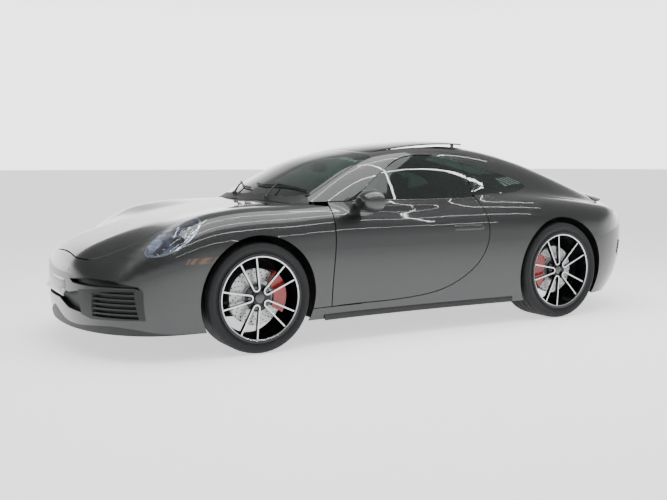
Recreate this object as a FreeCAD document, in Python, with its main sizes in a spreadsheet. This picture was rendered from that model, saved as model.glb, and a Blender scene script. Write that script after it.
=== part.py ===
import FreeCAD, Part
import Sketcher
import math
import os
from bisect import bisect_left
from FreeCAD import Vector, Placement, Rotation

# Two-door sports coupe with the engine behind the rear axle, full size, in millimetres.
# X points forward, Y to the car's left and Z up.
# The origin lies on the ground under the middle of the body.

os.makedirs("parts", exist_ok=True)
doc = FreeCAD.newDocument("coupe")

# Driving dimensions
sheet = doc.addObject("Spreadsheet::Sheet", "Sizes")
driving_sizes = (
    ("body_length", 4519, "bumper to bumper"),
    ("body_half_width", 926, "centre to the rear haunch"),
    ("body_height", 1298, "ground to roof skin"),
    ("wheelbase", 2450, "axle to axle"),
    ("front_overhang", 1023, "nose to front axle"),
    ("front_track", 1560, "between front tyre middles"),
    ("rear_track", 1534, "between rear tyre middles"),
    ("front_tyre_radius", 339.8, "245 wide, 35 series, 20 inch"),
    ("rear_tyre_radius", 358.2, "305 wide, 30 series, 21 inch"),
    ("front_tyre_width", 245, "section width"),
    ("rear_tyre_width", 300, "section width"),
    ("front_rim_radius", 273, "over the rim flange"),
    ("rear_rim_radius", 286, "over the rim flange"),
    ("front_arch_radius", 382, "wheel opening"),
    ("rear_arch_radius", 398, "wheel opening"),
    ("front_wheel_offset", 60, "middle plane to hub face"),
    ("front_rim_width", 236, "over the flanges"),
    ("rear_rim_width", 283, "over the flanges"),
    ("rim_flange_width", 8, "rim edge"),
    ("rim_well_depth", 38, "flange to drop well"),
    ("rim_wall", 6, "barrel"),
    ("rim_hub_radius", 84, "disc behind the spokes"),
    ("rim_hub_depth", 14, "disc behind the spokes"),
    ("rim_centre_radius", 44, "raised middle"),
    ("rim_centre_depth", 26, "raised middle"),
    ("rim_bore_radius", 24, "centre bore"),
    ("spoke_inset", 12, "rim edge to spoke face"),
    ("spoke_bend_radius", 20, "round each bolt"),
    ("spoke_dish", 10, "fall towards the hub"),
    ("disc_hat_depth", 56, "brake disc"),
    ("disc_hat_radius", 90, "brake disc"),
    ("disc_hat_wall", 8, "brake disc"),
    ("caliper_wall", 15, "brake caliper"),
    ("knuckle_width", 90, "front and rear"),
    ("knuckle_rise", 128, "above and below the axle"),
    ("kingpin_inset", 82, "from the wheel middle"),
    ("arm_depth", 30, "lower arm"),
    ("arm_width", 60, "lower arm"),
    ("tunnel_width", 260, "over the tunnel"),
    ("tunnel_rise", 200, "over the floor"),
    ("sill_rise", 100, "over the floor"),
    ("engine_length", 440, "plain block"),
    ("engine_height", 400, "plain block"),
    ("silencer_radius", 58, "behind the engine"),
    ("steering_hub_radius", 68, "steering wheel"),
    ("steering_hub_depth", 30, "steering wheel"),
    ("steering_column_radius", 25, "to the dashboard"),
    ("steering_column_length", 230, "to the dashboard"),
    ("mirror_foot_length", 46, "along the door"),
    ("rear_wheel_offset", 70, "middle plane to hub face"),
    ("bead_depth", 17, "rim flange over the tyre seat"),
    ("bolt_circle_radius", 65, "five wheel bolts"),
    ("bolt_hole_radius", 7.5, "wheel bolt hole"),
    ("hub_radius", 60, "wheel hub"),
    ("spoke_width", 9, "machined face of a spoke"),
    ("spoke_depth", 34, "spoke, front to back"),
    ("disc_radius", 175, "brake disc"),
    ("disc_depth", 34, "brake disc"),
    ("shut_gap", 6, "round doors and lids"),
    ("hinge_side_gap", 7, "shut line next to a hinge"),
    ("seam_gap", 0.5, "between fixed panels"),
    ("fit_gap", 0.3, "piece to its seat"),
    ("panel_depth", 12, "folded edge of an outer panel"),
    ("hem_depth", 4, "edge of a door or lid"),
    ("hem_width", 14, "edge of a door or lid"),
    ("lip_depth", 34, "folded edge of a wheel arch"),
    ("lip_width", 3, "folded edge of a wheel arch"),
    ("glass_depth", 6, "pane thickness"),
    ("seal_width", 14, "black edge of a bonded pane"),
    ("door_depth", 104, "skin to trim"),
    ("door_step", 26, "shut line to the thick part"),
    ("lamp_length_radius", 193, "headlamp oval"),
    ("lamp_width_radius", 134, "headlamp oval"),
    ("lamp_ring_width", 11, "black ring of a headlamp"),
    ("lamp_bowl_depth", 70, "headlamp"),
    ("plate_depth", 14, "bulkheads and floor"),
    ("liner_depth", 4, "wheel arch liner"),
    ("liner_room", 22, "arch edge to liner"),
    ("floor_height", 168, "ground to the underside"),
    ("hinge_pin_radius", 6.5, "doors and lids"),
    ("hinge_leaf_depth", 10, "doors and lids"),
    ("steering_wheel_radius", 180, "over the rim"),
    ("steering_rim_radius", 15, "section of the rim"),
    ("seat_width", 500, "front seat"),
    ("wing_arm_radius", 126, "hinge to lifting arm"),
    ("exhaust_radius", 40, "tail pipe"),
    ("engine_width", 660, "block with its ancillaries"),
)
for row, (alias, value, remark) in enumerate(driving_sizes):
    cell = str(row + len("A"))
    sheet.set("A" + cell, remark)
    sheet.set("B" + cell, str(value))
    sheet.setAlias("B" + cell, alias)
doc.recompute()


def size(alias):
    return float(getattr(sheet, alias))


one = 1.0
two = 2.0
half = 0.5
full_turn = 360.0
half_turn = 180.0
right_angle = 90.0

length = size("body_length")
half_width = size("body_half_width")
height = size("body_height")
nose_x = length * half
front_axle = Vector(nose_x - size("front_overhang"), 0, size("front_tyre_radius"))
rear_axle = Vector(front_axle.x - size("wheelbase"), 0, size("rear_tyre_radius"))

# Body surface. Lengths are shares of the body length from the nose,
# heights shares of the body height, widths shares of the half width.
bonnet_shares = (
    (-0.0170, 0.392), (0.0177, 0.467), (0.0493, 0.517), (0.0936, 0.571), (0.1379, 0.612),
    (0.1821, 0.643), (0.2264, 0.669), (0.2720, 0.694), (0.3370, 0.703), (0.4477, 0.700),
    (0.5804, 0.705), (0.7132, 0.705), (0.8239, 0.690), (0.9124, 0.655), (1.0000, 0.600),
)
crest_shares = (
    (0.0272, 0.330), (0.0582, 0.410), (0.0805, 0.478), (0.1002, 0.534), (0.1186, 0.579),
    (0.1379, 0.616), (0.1611, 0.646), (0.1932, 0.667), (0.2264, 0.678), (0.2720, 0.682),
    (0.3370, 0.690), (0.4477, 0.690), (0.5804, 0.698), (0.6690, 0.703), (0.7685, 0.690),
    (0.8681, 0.655), (0.9566, 0.610), (1.0000, 0.585),
)
flank_shares = (
    (-0.0170, 0.930), (0.0272, 0.945), (0.0715, 0.957), (0.1379, 0.975), (0.2264, 0.990),
    (0.2928, 0.972), (0.3592, 0.947), (0.4477, 0.938), (0.5362, 0.945), (0.6247, 0.968),
    (0.7132, 0.994), (0.7685, 1.000), (0.8460, 0.990), (0.9124, 0.965), (0.9566, 0.940),
    (1.0000, 0.910),
)
roof_shares = (
    (0.2042, 0.575), (0.2720, 0.697), (0.3149, 0.776), (0.3592, 0.853), (0.3886, 0.899),
    (0.4364, 0.950), (0.4724, 0.974), (0.5214, 0.992), (0.5680, 1.000), (0.6136, 0.998),
    (0.6690, 0.981), (0.7263, 0.945), (0.7964, 0.882), (0.8548, 0.817), (0.9183, 0.737),
    (0.9633, 0.668), (1.0000, 0.605),
)
side_glass_shares = (
    (0.2264, 0.700), (0.2928, 0.765), (0.3592, 0.810), (0.4477, 0.832), (0.5362, 0.830),
    (0.6247, 0.800), (0.7132, 0.745), (0.8017, 0.675), (0.8902, 0.600), (0.9566, 0.530),
    (1.0230, 0.460),
)
# Nose and tail: share of the overhang reached at each height, and how far
# the plan view draws back towards the corners, in shares of the body length.
nose_rise_shares = (
    (0.10, 0.975), (0.16, 0.988), (0.22, 0.9975), (0.30, 0.9985), (0.36, 1.0), (0.42, 0.999),
    (0.47, 0.985), (0.52, 0.955), (0.60, 0.88),
)
tail_rise_shares = (
    (0.10, 0.9574), (0.19, 0.9807), (0.30, 0.9954), (0.42, 1.0), (0.54, 0.9985), (0.62, 0.9884),
    (0.68, 0.9729), (0.75, 0.9458),
)
nose_plan_shares = (
    (-0.54, 0.0188), (-0.32, 0.0055), (0.0, 0.0), (0.32, 0.0055), (0.54, 0.0188), (0.65, 0.0300),
    (0.755, 0.0460), (0.86, 0.0690), (0.93, 0.0900), (1.0, 0.118),
)
tail_plan_shares = (
    (-0.65, 0.0275), (-0.43, 0.010), (0.0, 0.0), (0.43, 0.010), (0.65, 0.0275), (0.755, 0.0455),
    (0.86, 0.070), (0.94, 0.097), (1.0, 0.125),
)
waist_share = 0.43
tuck_shares = {"below": 0.40, "above": 1.15}
crown_shares = {"from": 0.30, "to": 0.745, "fall": 0.9}
glass_lean_shares = {"from": 0.66, "start": 0.03, "lean": 0.62}
roof_round_shares = {"base": 0.036, "front": 0.02, "front_to": 0.44, "front_run": 0.16,
                     "rear": 0.03, "rear_from": 0.62, "rear_run": 0.30, "width": 0.6, "power": 2.3}
blend_shares = {"shoulder": 0.16, "ends": 0.13, "floor": 0.02, "roof": 0.10, "belt": 0.012,
                "tail_belt": 0.10, "tail_from": 0.52, "tail_run": 0.30}
steep_shares = {"top": 0.93, "side": 0.85, "roof": 0.90}
floor_share = 0.115
cabin_floor_share = 0.62


def spline(points):
    """Natural cubic through the points, going straight on past both ends."""
    xs = [p[0] for p in points]
    ys = [p[-1] for p in points]
    steps = [b - a for a, b in zip(xs, xs[1:])]
    slopes = [(b - a) / h for a, b, h in zip(ys, ys[1:], steps)]
    upper = [0.0]
    right = [0.0]
    for before, after, low, high in zip(steps, steps[1:], slopes, slopes[1:]):
        pivot = two * (before + after) - before * upper[-1]
        upper.append(after / pivot)
        right.append((six * (high - low) - before * right[-1]) / pivot)
    bends = [0.0]
    for u, r in zip(reversed(upper), reversed(right)):
        bends.insert(0, r - u * bends[0])
    rises = [s - h * (two * a + b) / six for s, h, a, b in zip(slopes, steps, bends, bends[1:])]
    last = len(steps) - 1
    final = rises[last] + steps[last] * (bends[last] + bends[-1]) / two

    def value(t):
        if t >= xs[-1]:
            return ys[-1] + (t - xs[-1]) * final
        if t <= xs[0]:
            return ys[0] + (t - xs[0]) * rises[0]
        i = bisect_left(xs, t) - 1
        d = t - xs[i]
        bend = bends[i] / two + d * (bends[i + 1] - bends[i]) / (six * steps[i])
        return ys[i] + d * (rises[i] + d * bend)
    return value


six = 6.0
bonnet_rise = spline(bonnet_shares)
crest_rise = spline(crest_shares)
flank_width = spline(flank_shares)
roof_rise = spline(roof_shares)
side_glass_width = spline(side_glass_shares)
nose_reach = spline(nose_rise_shares)
tail_reach = spline(tail_rise_shares)
nose_plan = spline(nose_plan_shares)
tail_plan = spline(tail_plan_shares)


def limit(value):
    return min(max(value, 0.0), one)


def smooth_max(a, b, reach):
    near = max(reach - abs(a - b), 0.0) / reach
    return max(a, b) + near * near * near * reach / six


def lower_body(s, a, h):
    """Signed distance, in body heights, from the bonnet, flanks, nose and tail."""
    wide = half_width / height
    long = length / height
    tuck = tuck_shares["below"] if h < waist_share else tuck_shares["above"]
    side = (a - flank_width(s) + tuck * (h - waist_share) * (h - waist_share)) * wide
    span = crown_shares["to"] - crown_shares["from"]
    m = limit((a - crown_shares["from"]) / span)
    m = m * m * (two + one - two * m)
    over = max(a - crown_shares["to"], 0.0)
    rise = bonnet_rise(s)
    top = h - rise - (crest_rise(s) - rise) * m + crown_shares["fall"] * over * over
    overhang = size_front_overhang / length
    front = ((nose_reach(h) - one) * -overhang + nose_plan(a) - s) * long
    rear = (s - one + (one - tail_reach(h)) + tail_plan(a)) * long
    shape = smooth_max(side, top * steep_shares["top"], blend_shares["shoulder"])
    shape = smooth_max(shape, front * steep_shares["top"], blend_shares["ends"])
    shape = smooth_max(shape, rear * steep_shares["top"], blend_shares["ends"])
    return smooth_max(shape, floor_share - h, blend_shares["floor"])


def cabin(s, a, h):
    """Signed distance, in body heights, from the glasshouse and roof."""
    lean = glass_lean_shares
    drop = max(h - lean["from"], 0.0) - lean["start"]
    wide = half_width / height
    side = (a - side_glass_width(s)) * wide * steep_shares["side"]
    side += lean["lean"] * drop * steep_shares["side"]
    r = roof_round_shares
    fall = r["base"] + r["front"] * limit((r["front_to"] - s) / r["front_run"])
    fall += r["rear"] * limit((s - r["rear_from"]) / r["rear_run"])
    top = (h - roof_rise(s) + fall * (a / r["width"]) ** r["power"]) * steep_shares["roof"]
    shape = smooth_max(side, top, blend_shares["roof"])
    shape = smooth_max(shape, cabin_floor_share - h, blend_shares["floor"])
    rear = (s - one + (one - tail_reach(h)) + tail_plan(a)) * length / height
    return smooth_max(shape, rear, blend_shares["roof"])


size_front_overhang = size("front_overhang")


def outside(x, y, z):
    """Negative inside the body, positive outside it."""
    s = (nose_x - x) / length
    a = abs(y) / half_width
    h = z / height
    b = blend_shares
    reach = b["belt"] + b["tail_belt"] * limit((s - b["tail_from"]) / b["tail_run"])
    return -smooth_max(-lower_body(s, a, h), -cabin(s, a, h), reach)


def lower_field(x, y, z):
    return lower_body((nose_x - x) / length, abs(y) / half_width, z / height)


def cabin_field(x, y, z):
    return cabin((nose_x - x) / length, abs(y) / half_width, z / height)


# Outlines on the body. Side views are (length share, height share),
# plan views (length share, half-width share), front views (half-width share, height share).
door_front_shares = (
    (0.3479, 0.6949), (0.3443, 0.4777), (0.3403, 0.3236), (0.3399, 0.1895),
)
door_foot_shares = (
    (0.3399, 0.1895), (0.4255, 0.1926), (0.4919, 0.2034), (0.5362, 0.2311), (0.5716, 0.2866),
    (0.6004, 0.3698), (0.6147, 0.4622), (0.6189, 0.5547), (0.6167, 0.6394), (0.6127, 0.7018),
)
door_top_shares = (
    (0.6127, 0.7018), (0.4919, 0.6957), (0.3479, 0.6949),
)
door_core_shares = (
    (0.3000, 0.1000), (0.6500, 0.1000), (0.6500, 0.6650), (0.3000, 0.6650), (0.3000, 0.1000),
)
window_tip_shares = ((0.3558, 0.6972), (0.3791, 0.6995))
window_top_shares = (
    (0.3791, 0.6995), (0.4034, 0.7435), (0.4366, 0.8166), (0.4698, 0.8806),
    (0.4882, 0.9091), (0.5141, 0.9291), (0.5362, 0.9337), (0.5694, 0.9268), (0.6103, 0.9014),
    (0.6579, 0.8629), (0.7086, 0.8182), (0.7353, 0.7820), (0.7468, 0.7512),
)
window_foot_shares = (
    (0.7468, 0.7512), (0.7243, 0.7280), (0.6690, 0.7126), (0.6127, 0.7042),
)
pane_foot_shares = ((0.6400, 0.6700), (0.3500, 0.6700), (0.3558, 0.6972))
front_pane_shares = (
    (0.3000, 0.6000), (0.6127, 0.6000), (0.6105, 1.1000), (0.3000, 1.1000), (0.3000, 0.6000),
)
rear_pane_shares = (
    (0.6140, 0.6000), (0.8000, 0.6000), (0.8000, 1.1000), (0.6118, 1.1000), (0.6140, 0.6000),
)
bumper_line_shares = (
    (0.1534, 0.4400), (0.1218, 0.4400), (0.0889, 0.4440), (0.0743, 0.4500), (0.0604, 0.4540),
    (0.0383, 0.4570), (0.0162, 0.4600), (-0.0082, 0.4620),
)
nose_rest_shares = (
    (-0.0082, 0.4620), (-0.0600, 0.4620), (-0.0600, 0.0800), (0.2264, 0.0800), (0.1700, 0.4400),
    (0.1534, 0.4400),
)
lid_edge_shares = (
    (-0.4800, 0.4440), (-0.4182, 0.4470), (-0.2875, 0.4540), (0.0000, 0.4640), (0.2875, 0.4540),
    (0.4182, 0.4470), (0.4800, 0.4440),
)
lid_rest_shares = ((0.4800, 0.4440), (1.2000, 0.4300), (1.2000, 1.1000), (-1.2000, 1.1000),
                   (-1.2000, 0.4300), (-0.4800, 0.4440))
lid_front_shares = ((-0.0600, 0.0000), (-0.0600, 0.3000), (-0.0082, 0.3240))
lid_side_shares = (
    (-0.0082, 0.3240), (0.0139, 0.3850), (0.0254, 0.4180), (0.0330, 0.4500), (0.0582, 0.4990),
    (0.0825, 0.5420), (0.1157, 0.5853), (0.1600, 0.6188), (0.2042, 0.6404), (0.2485, 0.6544),
    (0.3005, 0.6717),
)
lid_rear_shares = (
    (0.3005, 0.6717), (0.2928, 0.5616), (0.2844, 0.4104), (0.2786, 0.2592), (0.2764, 0.0000),
)
cowl_side_shares = (
    (0.3005, 0.6717), (0.3105, 0.7214), (0.3215, 0.7613), (0.3348, 0.7970), (0.3479, 0.8153),
)
cowl_corner_shares = ((0.3238, 0.6750),)
pillar_foot_shares = (
    (0.3479, 0.6949), (0.3200, 0.6930), (0.2900, 0.6925),
)
fender_cut_shares = ((0.3479, 0.8153), (0.3479, 0.0000))
fender_foot_shares = ((0.1534, 0.4400), (0.1700, 0.4400), (0.2264, 0.1895), (0.3399, 0.1895))
fender_head_shares = ((0.2900, 0.6925), (-0.0082, 0.6925), (-0.0082, 0.4620))
marker_shares = (
    (0.1228, 0.4400), (0.1270, 0.4640), (0.1700, 0.4712), (0.1700, 0.4400), (0.1228, 0.4400),
)
screen_foot_shares = (
    (0.2866, 0.0000), (0.2892, 0.2160), (0.2976, 0.4320), (0.3136, 0.6048), (0.3322, 0.6998),
)
screen_side_shares = (
    (0.3322, 0.6998), (0.3592, 0.6825), (0.4034, 0.6371), (0.4499, 0.5832),
)
screen_head_shares = (
    (0.4499, 0.5832), (0.4459, 0.4320), (0.4428, 0.2160), (0.4415, 0.0000),
)
roof_side_shares = (
    (0.4499, 0.5832), (0.5140, 0.5702), (0.6026, 0.5529), (0.7066, 0.5162),
)
roof_rear_shares = (
    (0.7066, 0.5162), (0.7022, 0.3240), (0.7004, 0.0000),
)
rear_screen_side_shares = (
    (0.7066, 0.5162), (0.7575, 0.5054), (0.8017, 0.4838), (0.8338, 0.4482),
)
rear_screen_foot_shares = (
    (0.8338, 0.4482), (0.8398, 0.3240), (0.8433, 0.1620), (0.8442, 0.0000),
)
rear_lid_side_shares = (
    (0.8338, 0.4482), (0.8593, 0.5076), (0.8902, 0.5778), (0.9146, 0.6285), (0.9345, 0.6479),
    (0.9566, 0.6479), (1.0300, 0.6479),
)
centre_head_shares = ((0.2000, 0.0000), (0.2000, 0.7200), (0.3322, 0.6998))
centre_tail_shares = ((1.0300, 0.6479), (1.0300, 0.0000))
frame_rest_shares = (
    (0.8300, 0.4300), (0.7700, 0.3000), (0.7700, 0.1215), (0.6800, 0.1215), (0.2900, 0.1300),
    (0.2900, 0.1857), (0.3900, 0.1857), (0.3900, 0.6970), (0.3150, 0.6965), (0.3150, 1.1000),
    (1.0300, 1.1000), (1.0300, 0.6460), (0.9215, 0.6460), (0.9146, 0.5917),
)
tail_seam_shares = (
    (0.8300, 0.4300), (0.8637, 0.4622), (0.8902, 0.5316), (0.9146, 0.5917),
)
tail_rest_shares = (
    (0.9146, 0.5917), (0.9180, 0.5990), (1.0300, 0.5990), (1.0300, 0.0800), (0.7700, 0.0800),
    (0.7700, 0.4000), (0.8300, 0.4300),
)
deck_rest_shares = (
    (0.8000, 1.2000), (0.8000, 0.6520), (1.0600, 0.6520), (1.0600, 1.2000), (0.8000, 1.2000),
)
sunroof_front_shares = ((0.4525, 0.0000), (0.4535, 0.2500), (0.4565, 0.4200), (0.4625, 0.4780))
sunroof_side_shares = ((0.4625, 0.4780), (0.6400, 0.4640))
sunroof_rear_shares = ((0.6400, 0.4640), (0.6460, 0.4000), (0.6480, 0.2000), (0.6480, 0.0000))
wing_front_shares = ((0.9190, 0.0000), (0.9186, 0.3000), (0.9170, 0.5200), (0.9165, 0.6000))
wing_tip_shares = ((0.9165, 0.6000), (0.9300, 0.6150), (0.9460, 0.6050))
wing_rear_shares = (
    (0.9460, 0.6050), (0.9600, 0.5500), (0.9700, 0.4000), (0.9740, 0.2000), (0.9750, 0.0000),
)
engine_vent_shares = ((0.8560, 0.0000), (0.8560, 0.3000), (0.8560, 0.3900), (0.9040, 0.4700),
                      (0.9060, 0.2400), (0.9060, 0.0000))
vent_half_share = 0.4300
light_bar_share = {"foot": 0.5990, "head": 0.6420, "front": 0.9222, "lift": 0.0040}
corner_intake_shares = (
    (0.4470, 0.3150), (0.8300, 0.3340), (0.8680, 0.3240), (0.8720, 0.1940), (0.5650, 0.1865),
    (0.4690, 0.2012),
)
slat_room_shares = ((0.5770, 0.3070), (0.8300, 0.3250), (0.8480, 0.2000), (0.5770, 0.2020))
centre_intake_shares = (
    (-0.4800, 0.2061), (-0.3090, 0.2156), (-0.1500, 0.2500), (0.1500, 0.2500), (0.3090, 0.2156),
    (0.4800, 0.2061), (0.4600, 0.3100), (0.2900, 0.2900), (-0.2900, 0.2900), (-0.4600, 0.3100),
)
recess_band_shares = (
    (0.3260, 0.3580), (0.5390, 0.3710), (0.7080, 0.3640), (0.8480, 0.3450), (0.8680, 0.3240),
    (0.8300, 0.3340), (0.5640, 0.3310), (0.3800, 0.3380),
)
splitter_edge_shares = (
    (-1.1000, 0.1200), (-0.9500, 0.1230), (-0.8500, 0.1480), (-0.5160, 0.1530), (-0.1600, 0.1700),
    (0.0000, 0.2050), (0.1600, 0.1700), (0.5160, 0.1530), (0.8500, 0.1480), (0.9500, 0.1230),
    (1.1000, 0.1200),
)
splitter_rest_shares = ((1.1000, 0.1200), (1.1000, 0.0500), (-1.1000, 0.0500), (-1.1000, 0.1200))
rear_vent_shares = ((0.7400, 0.3300), (0.7900, 0.4100), (0.8900, 0.4300), (0.9000, 0.3500),
                    (0.8200, 0.3100))
diffuser_shares = ((-0.7200, 0.1500), (0.7200, 0.1500), (0.6200, 0.2500), (0.3000, 0.2700),
                   (-0.3000, 0.2700), (-0.6200, 0.2500))
liner_inner_shares = {"front": 0.518, "rear": 0.605}
tub_half_share = 0.356
tub_top_share = 0.4600
silencer_half_share = 0.4500
tail_pipe_share = 0.2600
tail_pipe_height_share = 0.2120
tail_pipe_end_share = 0.9830
seat_place_share = 0.4104
seat_side_shares = (
    (0.4400, 0.1400), (0.4330, 0.2500), (0.4420, 0.3250), (0.4700, 0.3300), (0.5450, 0.3020),
    (0.5560, 0.3100), (0.5900, 0.5500), (0.6030, 0.7000), (0.6120, 0.8050), (0.6230, 0.8100),
    (0.6270, 0.7900), (0.6240, 0.7000), (0.6080, 0.4600), (0.5860, 0.2400), (0.5700, 0.1400),
)
bench_side_shares = (
    (0.6000, 0.1400), (0.5960, 0.3000), (0.6450, 0.2850), (0.6600, 0.6000), (0.6900, 0.6000), (0.6900, 0.1400),
)
dash_half_share = 0.690
dash_side_shares = (
    (0.3290, 0.4700), (0.3290, 0.6450), (0.3500, 0.6480), (0.3720, 0.6380), (0.3800, 0.6050),
    (0.3720, 0.5200), (0.3560, 0.4600),
)
mirror_centre_shares = (1.0000, 0.7030)
mirror_shares = ((0.4034, 0.1120, 0.0540), (0.3901, 0.1080, 0.0520), (0.3790, 0.0760, 0.0350), (0.3751, 0.0330, 0.0160))
mirror_foot_shares = ((0.8300, 0.6500), (0.9400, 0.6850), (0.9400, 0.7120), (0.8300, 0.6850))
mirror_foot_start_share = 0.3860


def mm_side(points):
    return [(nose_x - s * length, h * height) for s, h in points]


def mm_plan(points):
    return [(nose_x - s * length, a * half_width) for s, a in points]


def mm_front(points):
    return [(a * half_width, h * height) for a, h in points]


def unit(u, v):
    n = math.hypot(u, v)
    return (u / n, v / n)


def grown(runs, grow):
    """Moves a closed chain of runs outwards in its plane by the given distance."""
    loop = [p for run in runs for p in run[:-1]]
    count = len(loop)
    area = sum(p[0] * q[-1] - q[0] * p[-1] for p, q in zip(loop, loop[1:] + loop[:1]))
    turn = math.copysign(one, area) * grow
    moved = []
    for i, p in enumerate(loop):
        before = loop[i - 1]
        after = loop[(i + 1) % count]
        e = unit(p[0] - before[0], p[-1] - before[-1])
        f = unit(after[0] - p[0], after[-1] - p[-1])
        k = turn / (one + e[0] * f[0] + e[-1] * f[-1])
        moved.append((p[0] + k * (e[-1] + f[-1]), p[-1] - k * (e[0] + f[0])))
    result = []
    start = 0
    for run in runs:
        end = start + len(run) - 1
        result.append([moved[i % count] for i in range(start, end + 1)])
        start = end
    return result


def prism(runs, grow, place, along):
    """Solid with a plane outline of straight and curved runs, drawn out along a vector."""
    edges = []
    for run in grown(runs, grow):
        points = [place(u, v) for u, v in run]
        if len(points) > two:
            curve = Part.BSplineCurve()
            curve.interpolate(points)
            edges.append(curve.toShape())
        else:
            edges.append(Part.LineSegment(points[0], points[-1]).toShape())
    return Part.Face(Part.Wire(edges)).extrude(along)


def side_prism(runs, grow=0.0, inner=0.0, outer=None):
    outer = length if outer is None else outer
    return prism(runs, grow, lambda u, v: Vector(u, inner, v), Vector(0, outer - inner, 0))


def across_prism(runs, grow=0.0):
    return side_prism(runs, grow, -length, length)


def plan_prism(runs, grow=0.0, low=0.0, high=None):
    high = height * two if high is None else high
    return prism(runs, grow, lambda u, v: Vector(u, v, low), Vector(0, 0, high - low))


def front_prism(runs, grow=0.0):
    """Outline seen from ahead, drawn out over the front half of the car."""
    return prism(runs, grow, lambda u, v: Vector(0, u, v), Vector(length, 0, 0))


def rear_prism(runs, grow=0.0):
    return prism(runs, grow, lambda u, v: Vector(0, u, v), Vector(-length, 0, 0))


def mirrored(half_runs):
    """Closes a half plan outline, given from centre to centre, over the middle plane."""
    other = [[(u, -v) for u, v in reversed(run)] for run in reversed(half_runs)]
    return half_runs + other


def straight(points):
    return [list(pair) for pair in zip(points, points[1:])]


def closed(points):
    return straight(list(points) + [points[0]])


def both(shape):
    return shape, shape.mirror(Vector(), Vector(0, one, 0))


def block(low, high):
    """Box between two corners."""
    low = Vector(*low)
    span = Vector(*high) - low
    return Part.makeBox(span.x, span.y, span.z, low)


search_rounds = 7
polish_rounds = 4


def skin_point(start, reach, field):
    """Walks from a point inside the body along reach and stops on the body surface."""
    low, high = 0.0, one
    for _ in range(search_rounds):
        middle = (low + high) * half
        p = start + reach * middle
        if field(p.x, p.y, p.z) < 0:
            low = middle
        else:
            high = middle
    a, b = start + reach * low, start + reach * high
    fa, fb = field(a.x, a.y, a.z), field(b.x, b.y, b.z)
    if fa >= 0 or fb <= 0:
        return b
    for _ in range(polish_rounds):
        t = low + (high - low) * fa / (fa - fb)
        p = start + reach * t
        f = field(p.x, p.y, p.z)
        if f < 0:
            low, fa = t, f
        else:
            high, fb = t, f
    return start + reach * (low + (high - low) * fa / (fa - fb))


def smooth_face(grid):
    surface = Part.BSplineSurface()
    surface.interpolate(grid)
    return surface


def steps(start, end, count):
    return [start + (end - start) * i / (count - 1) for i in range(count)]


side_axis_share = 0.385
screen_axis_share = 0.645
inward = Vector(0, -0.8, -0.6)
downward = Vector(0, 0, -one)


def section_point(s, angle, axis_height, field):
    ray = Vector(0, math.cos(math.radians(angle)), math.sin(math.radians(angle)))
    return skin_point(Vector(nose_x - s * length, 0, axis_height), ray * half_width * two, field)


def flank_patch(front_s, rear_s, columns, low_angle, high_angle, rows, field, axis_share=side_axis_share):
    """Left side of the body, cut by rays square to a lengthwise axis inside it."""
    axis_height = axis_share * height
    grid = []
    for s in steps(front_s, rear_s, columns):
        grid.append([section_point(s, t, axis_height, field) for t in steps(low_angle, high_angle, rows)])
    return smooth_face(grid)


def crown_patch(front_s, rear_s, columns, half_span, rows, field, base_share=0.34):
    """Top of the body across both sides, cut by upright rays."""
    grid = []
    for a in steps(0.0, half_span, rows):
        column = []
        for s in steps(front_s(a), rear_s(a), columns):
            start = Vector(nose_x - s * length, a * half_width, base_share * height)
            column.append(skin_point(start, Vector(0, 0, height), field))
        grid.append(column)
    return smooth_face(grid[:0:-1] + [[Vector(p.x, -p.y, p.z) for p in line] for line in grid])


def layer(patch, way, near, far):
    """Solid between two depths below a patch of the body surface."""
    face = patch.toShape()
    face.translate(way * near)
    return face.extrude(way * (far - near))


sweep_angle = 93.0
normal_step_share = 0.0004


def outward(p, field):
    """Outward normal of the body surface."""
    d = normal_step_share * height
    g = Vector(field(p.x + d, p.y, p.z) - field(p.x - d, p.y, p.z),
               field(p.x, p.y + d, p.z) - field(p.x, p.y - d, p.z),
               field(p.x, p.y, p.z + d) - field(p.x, p.y, p.z - d))
    return g.normalize()


def closed_slab(outer, inner):
    """Joins an outer and an inner surface of like grids into one solid."""
    def borders(surface):
        u0, u1, v0, v1 = surface.bounds()
        return surface.uIso(u0), surface.uIso(u1), surface.vIso(v0), surface.vIso(v1)
    faces = [outer.toShape(), inner.toShape()]
    for a, b in zip(borders(outer), borders(inner)):
        faces.append(Part.makeRuledSurface(a.toShape(), b.toShape()))
    shell = Part.makeShell(faces)
    shell.sewShape()
    solid = Part.makeSolid(shell)
    if solid.Volume < 0:
        solid.reverse()
    return solid


def fan_surfaces(centre_s, turn, sweep, columns, heights, depths):
    """Nose or tail surface at several depths below the skin, cut by rays from an upright axis."""
    layers = [[] for _ in depths]
    for t in steps(-sweep, sweep, columns):
        ray = Vector(turn * math.cos(math.radians(t)), math.sin(math.radians(t)), 0)
        lines = [[] for _ in depths]
        for h in heights:
            start = Vector(nose_x - centre_s * length, 0, h * height)
            p = skin_point(start, ray * length * half, outside)
            n = outward(p, outside)
            for line, deep in zip(lines, depths):
                line.append(p - n * deep)
        for grid, line in zip(layers, lines):
            grid.append(line)
    return [smooth_face(grid) for grid in layers]


def largest(shape):
    return max(shape.Solids, key=lambda s: s.Volume)


crumb_share = 1e-7
crumb_volume = length * half_width * height * crumb_share
pieces = []


def add_shape(name, shape):
    """Adds a piece whose shape follows the body surface."""
    keep = [s for s in shape.Solids if s.Volume > crumb_volume]
    shape = keep[0] if len(keep) == len("a") else Part.makeCompound(keep)
    piece = doc.addObject("Part::Feature", name)
    piece.Label = name
    piece.Shape = shape
    piece.Placement = shape.Placement
    pieces.append(piece)
    return piece


gap = size("shut_gap")
hinge_gap = size("hinge_side_gap")
seam = size("seam_gap")
fit = size("fit_gap")
depth = size("panel_depth")
hem = size("hem_depth")
hem_width = size("hem_width")
lip = size("lip_depth")
glass = size("glass_depth")
seal = size("seal_width")


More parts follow.
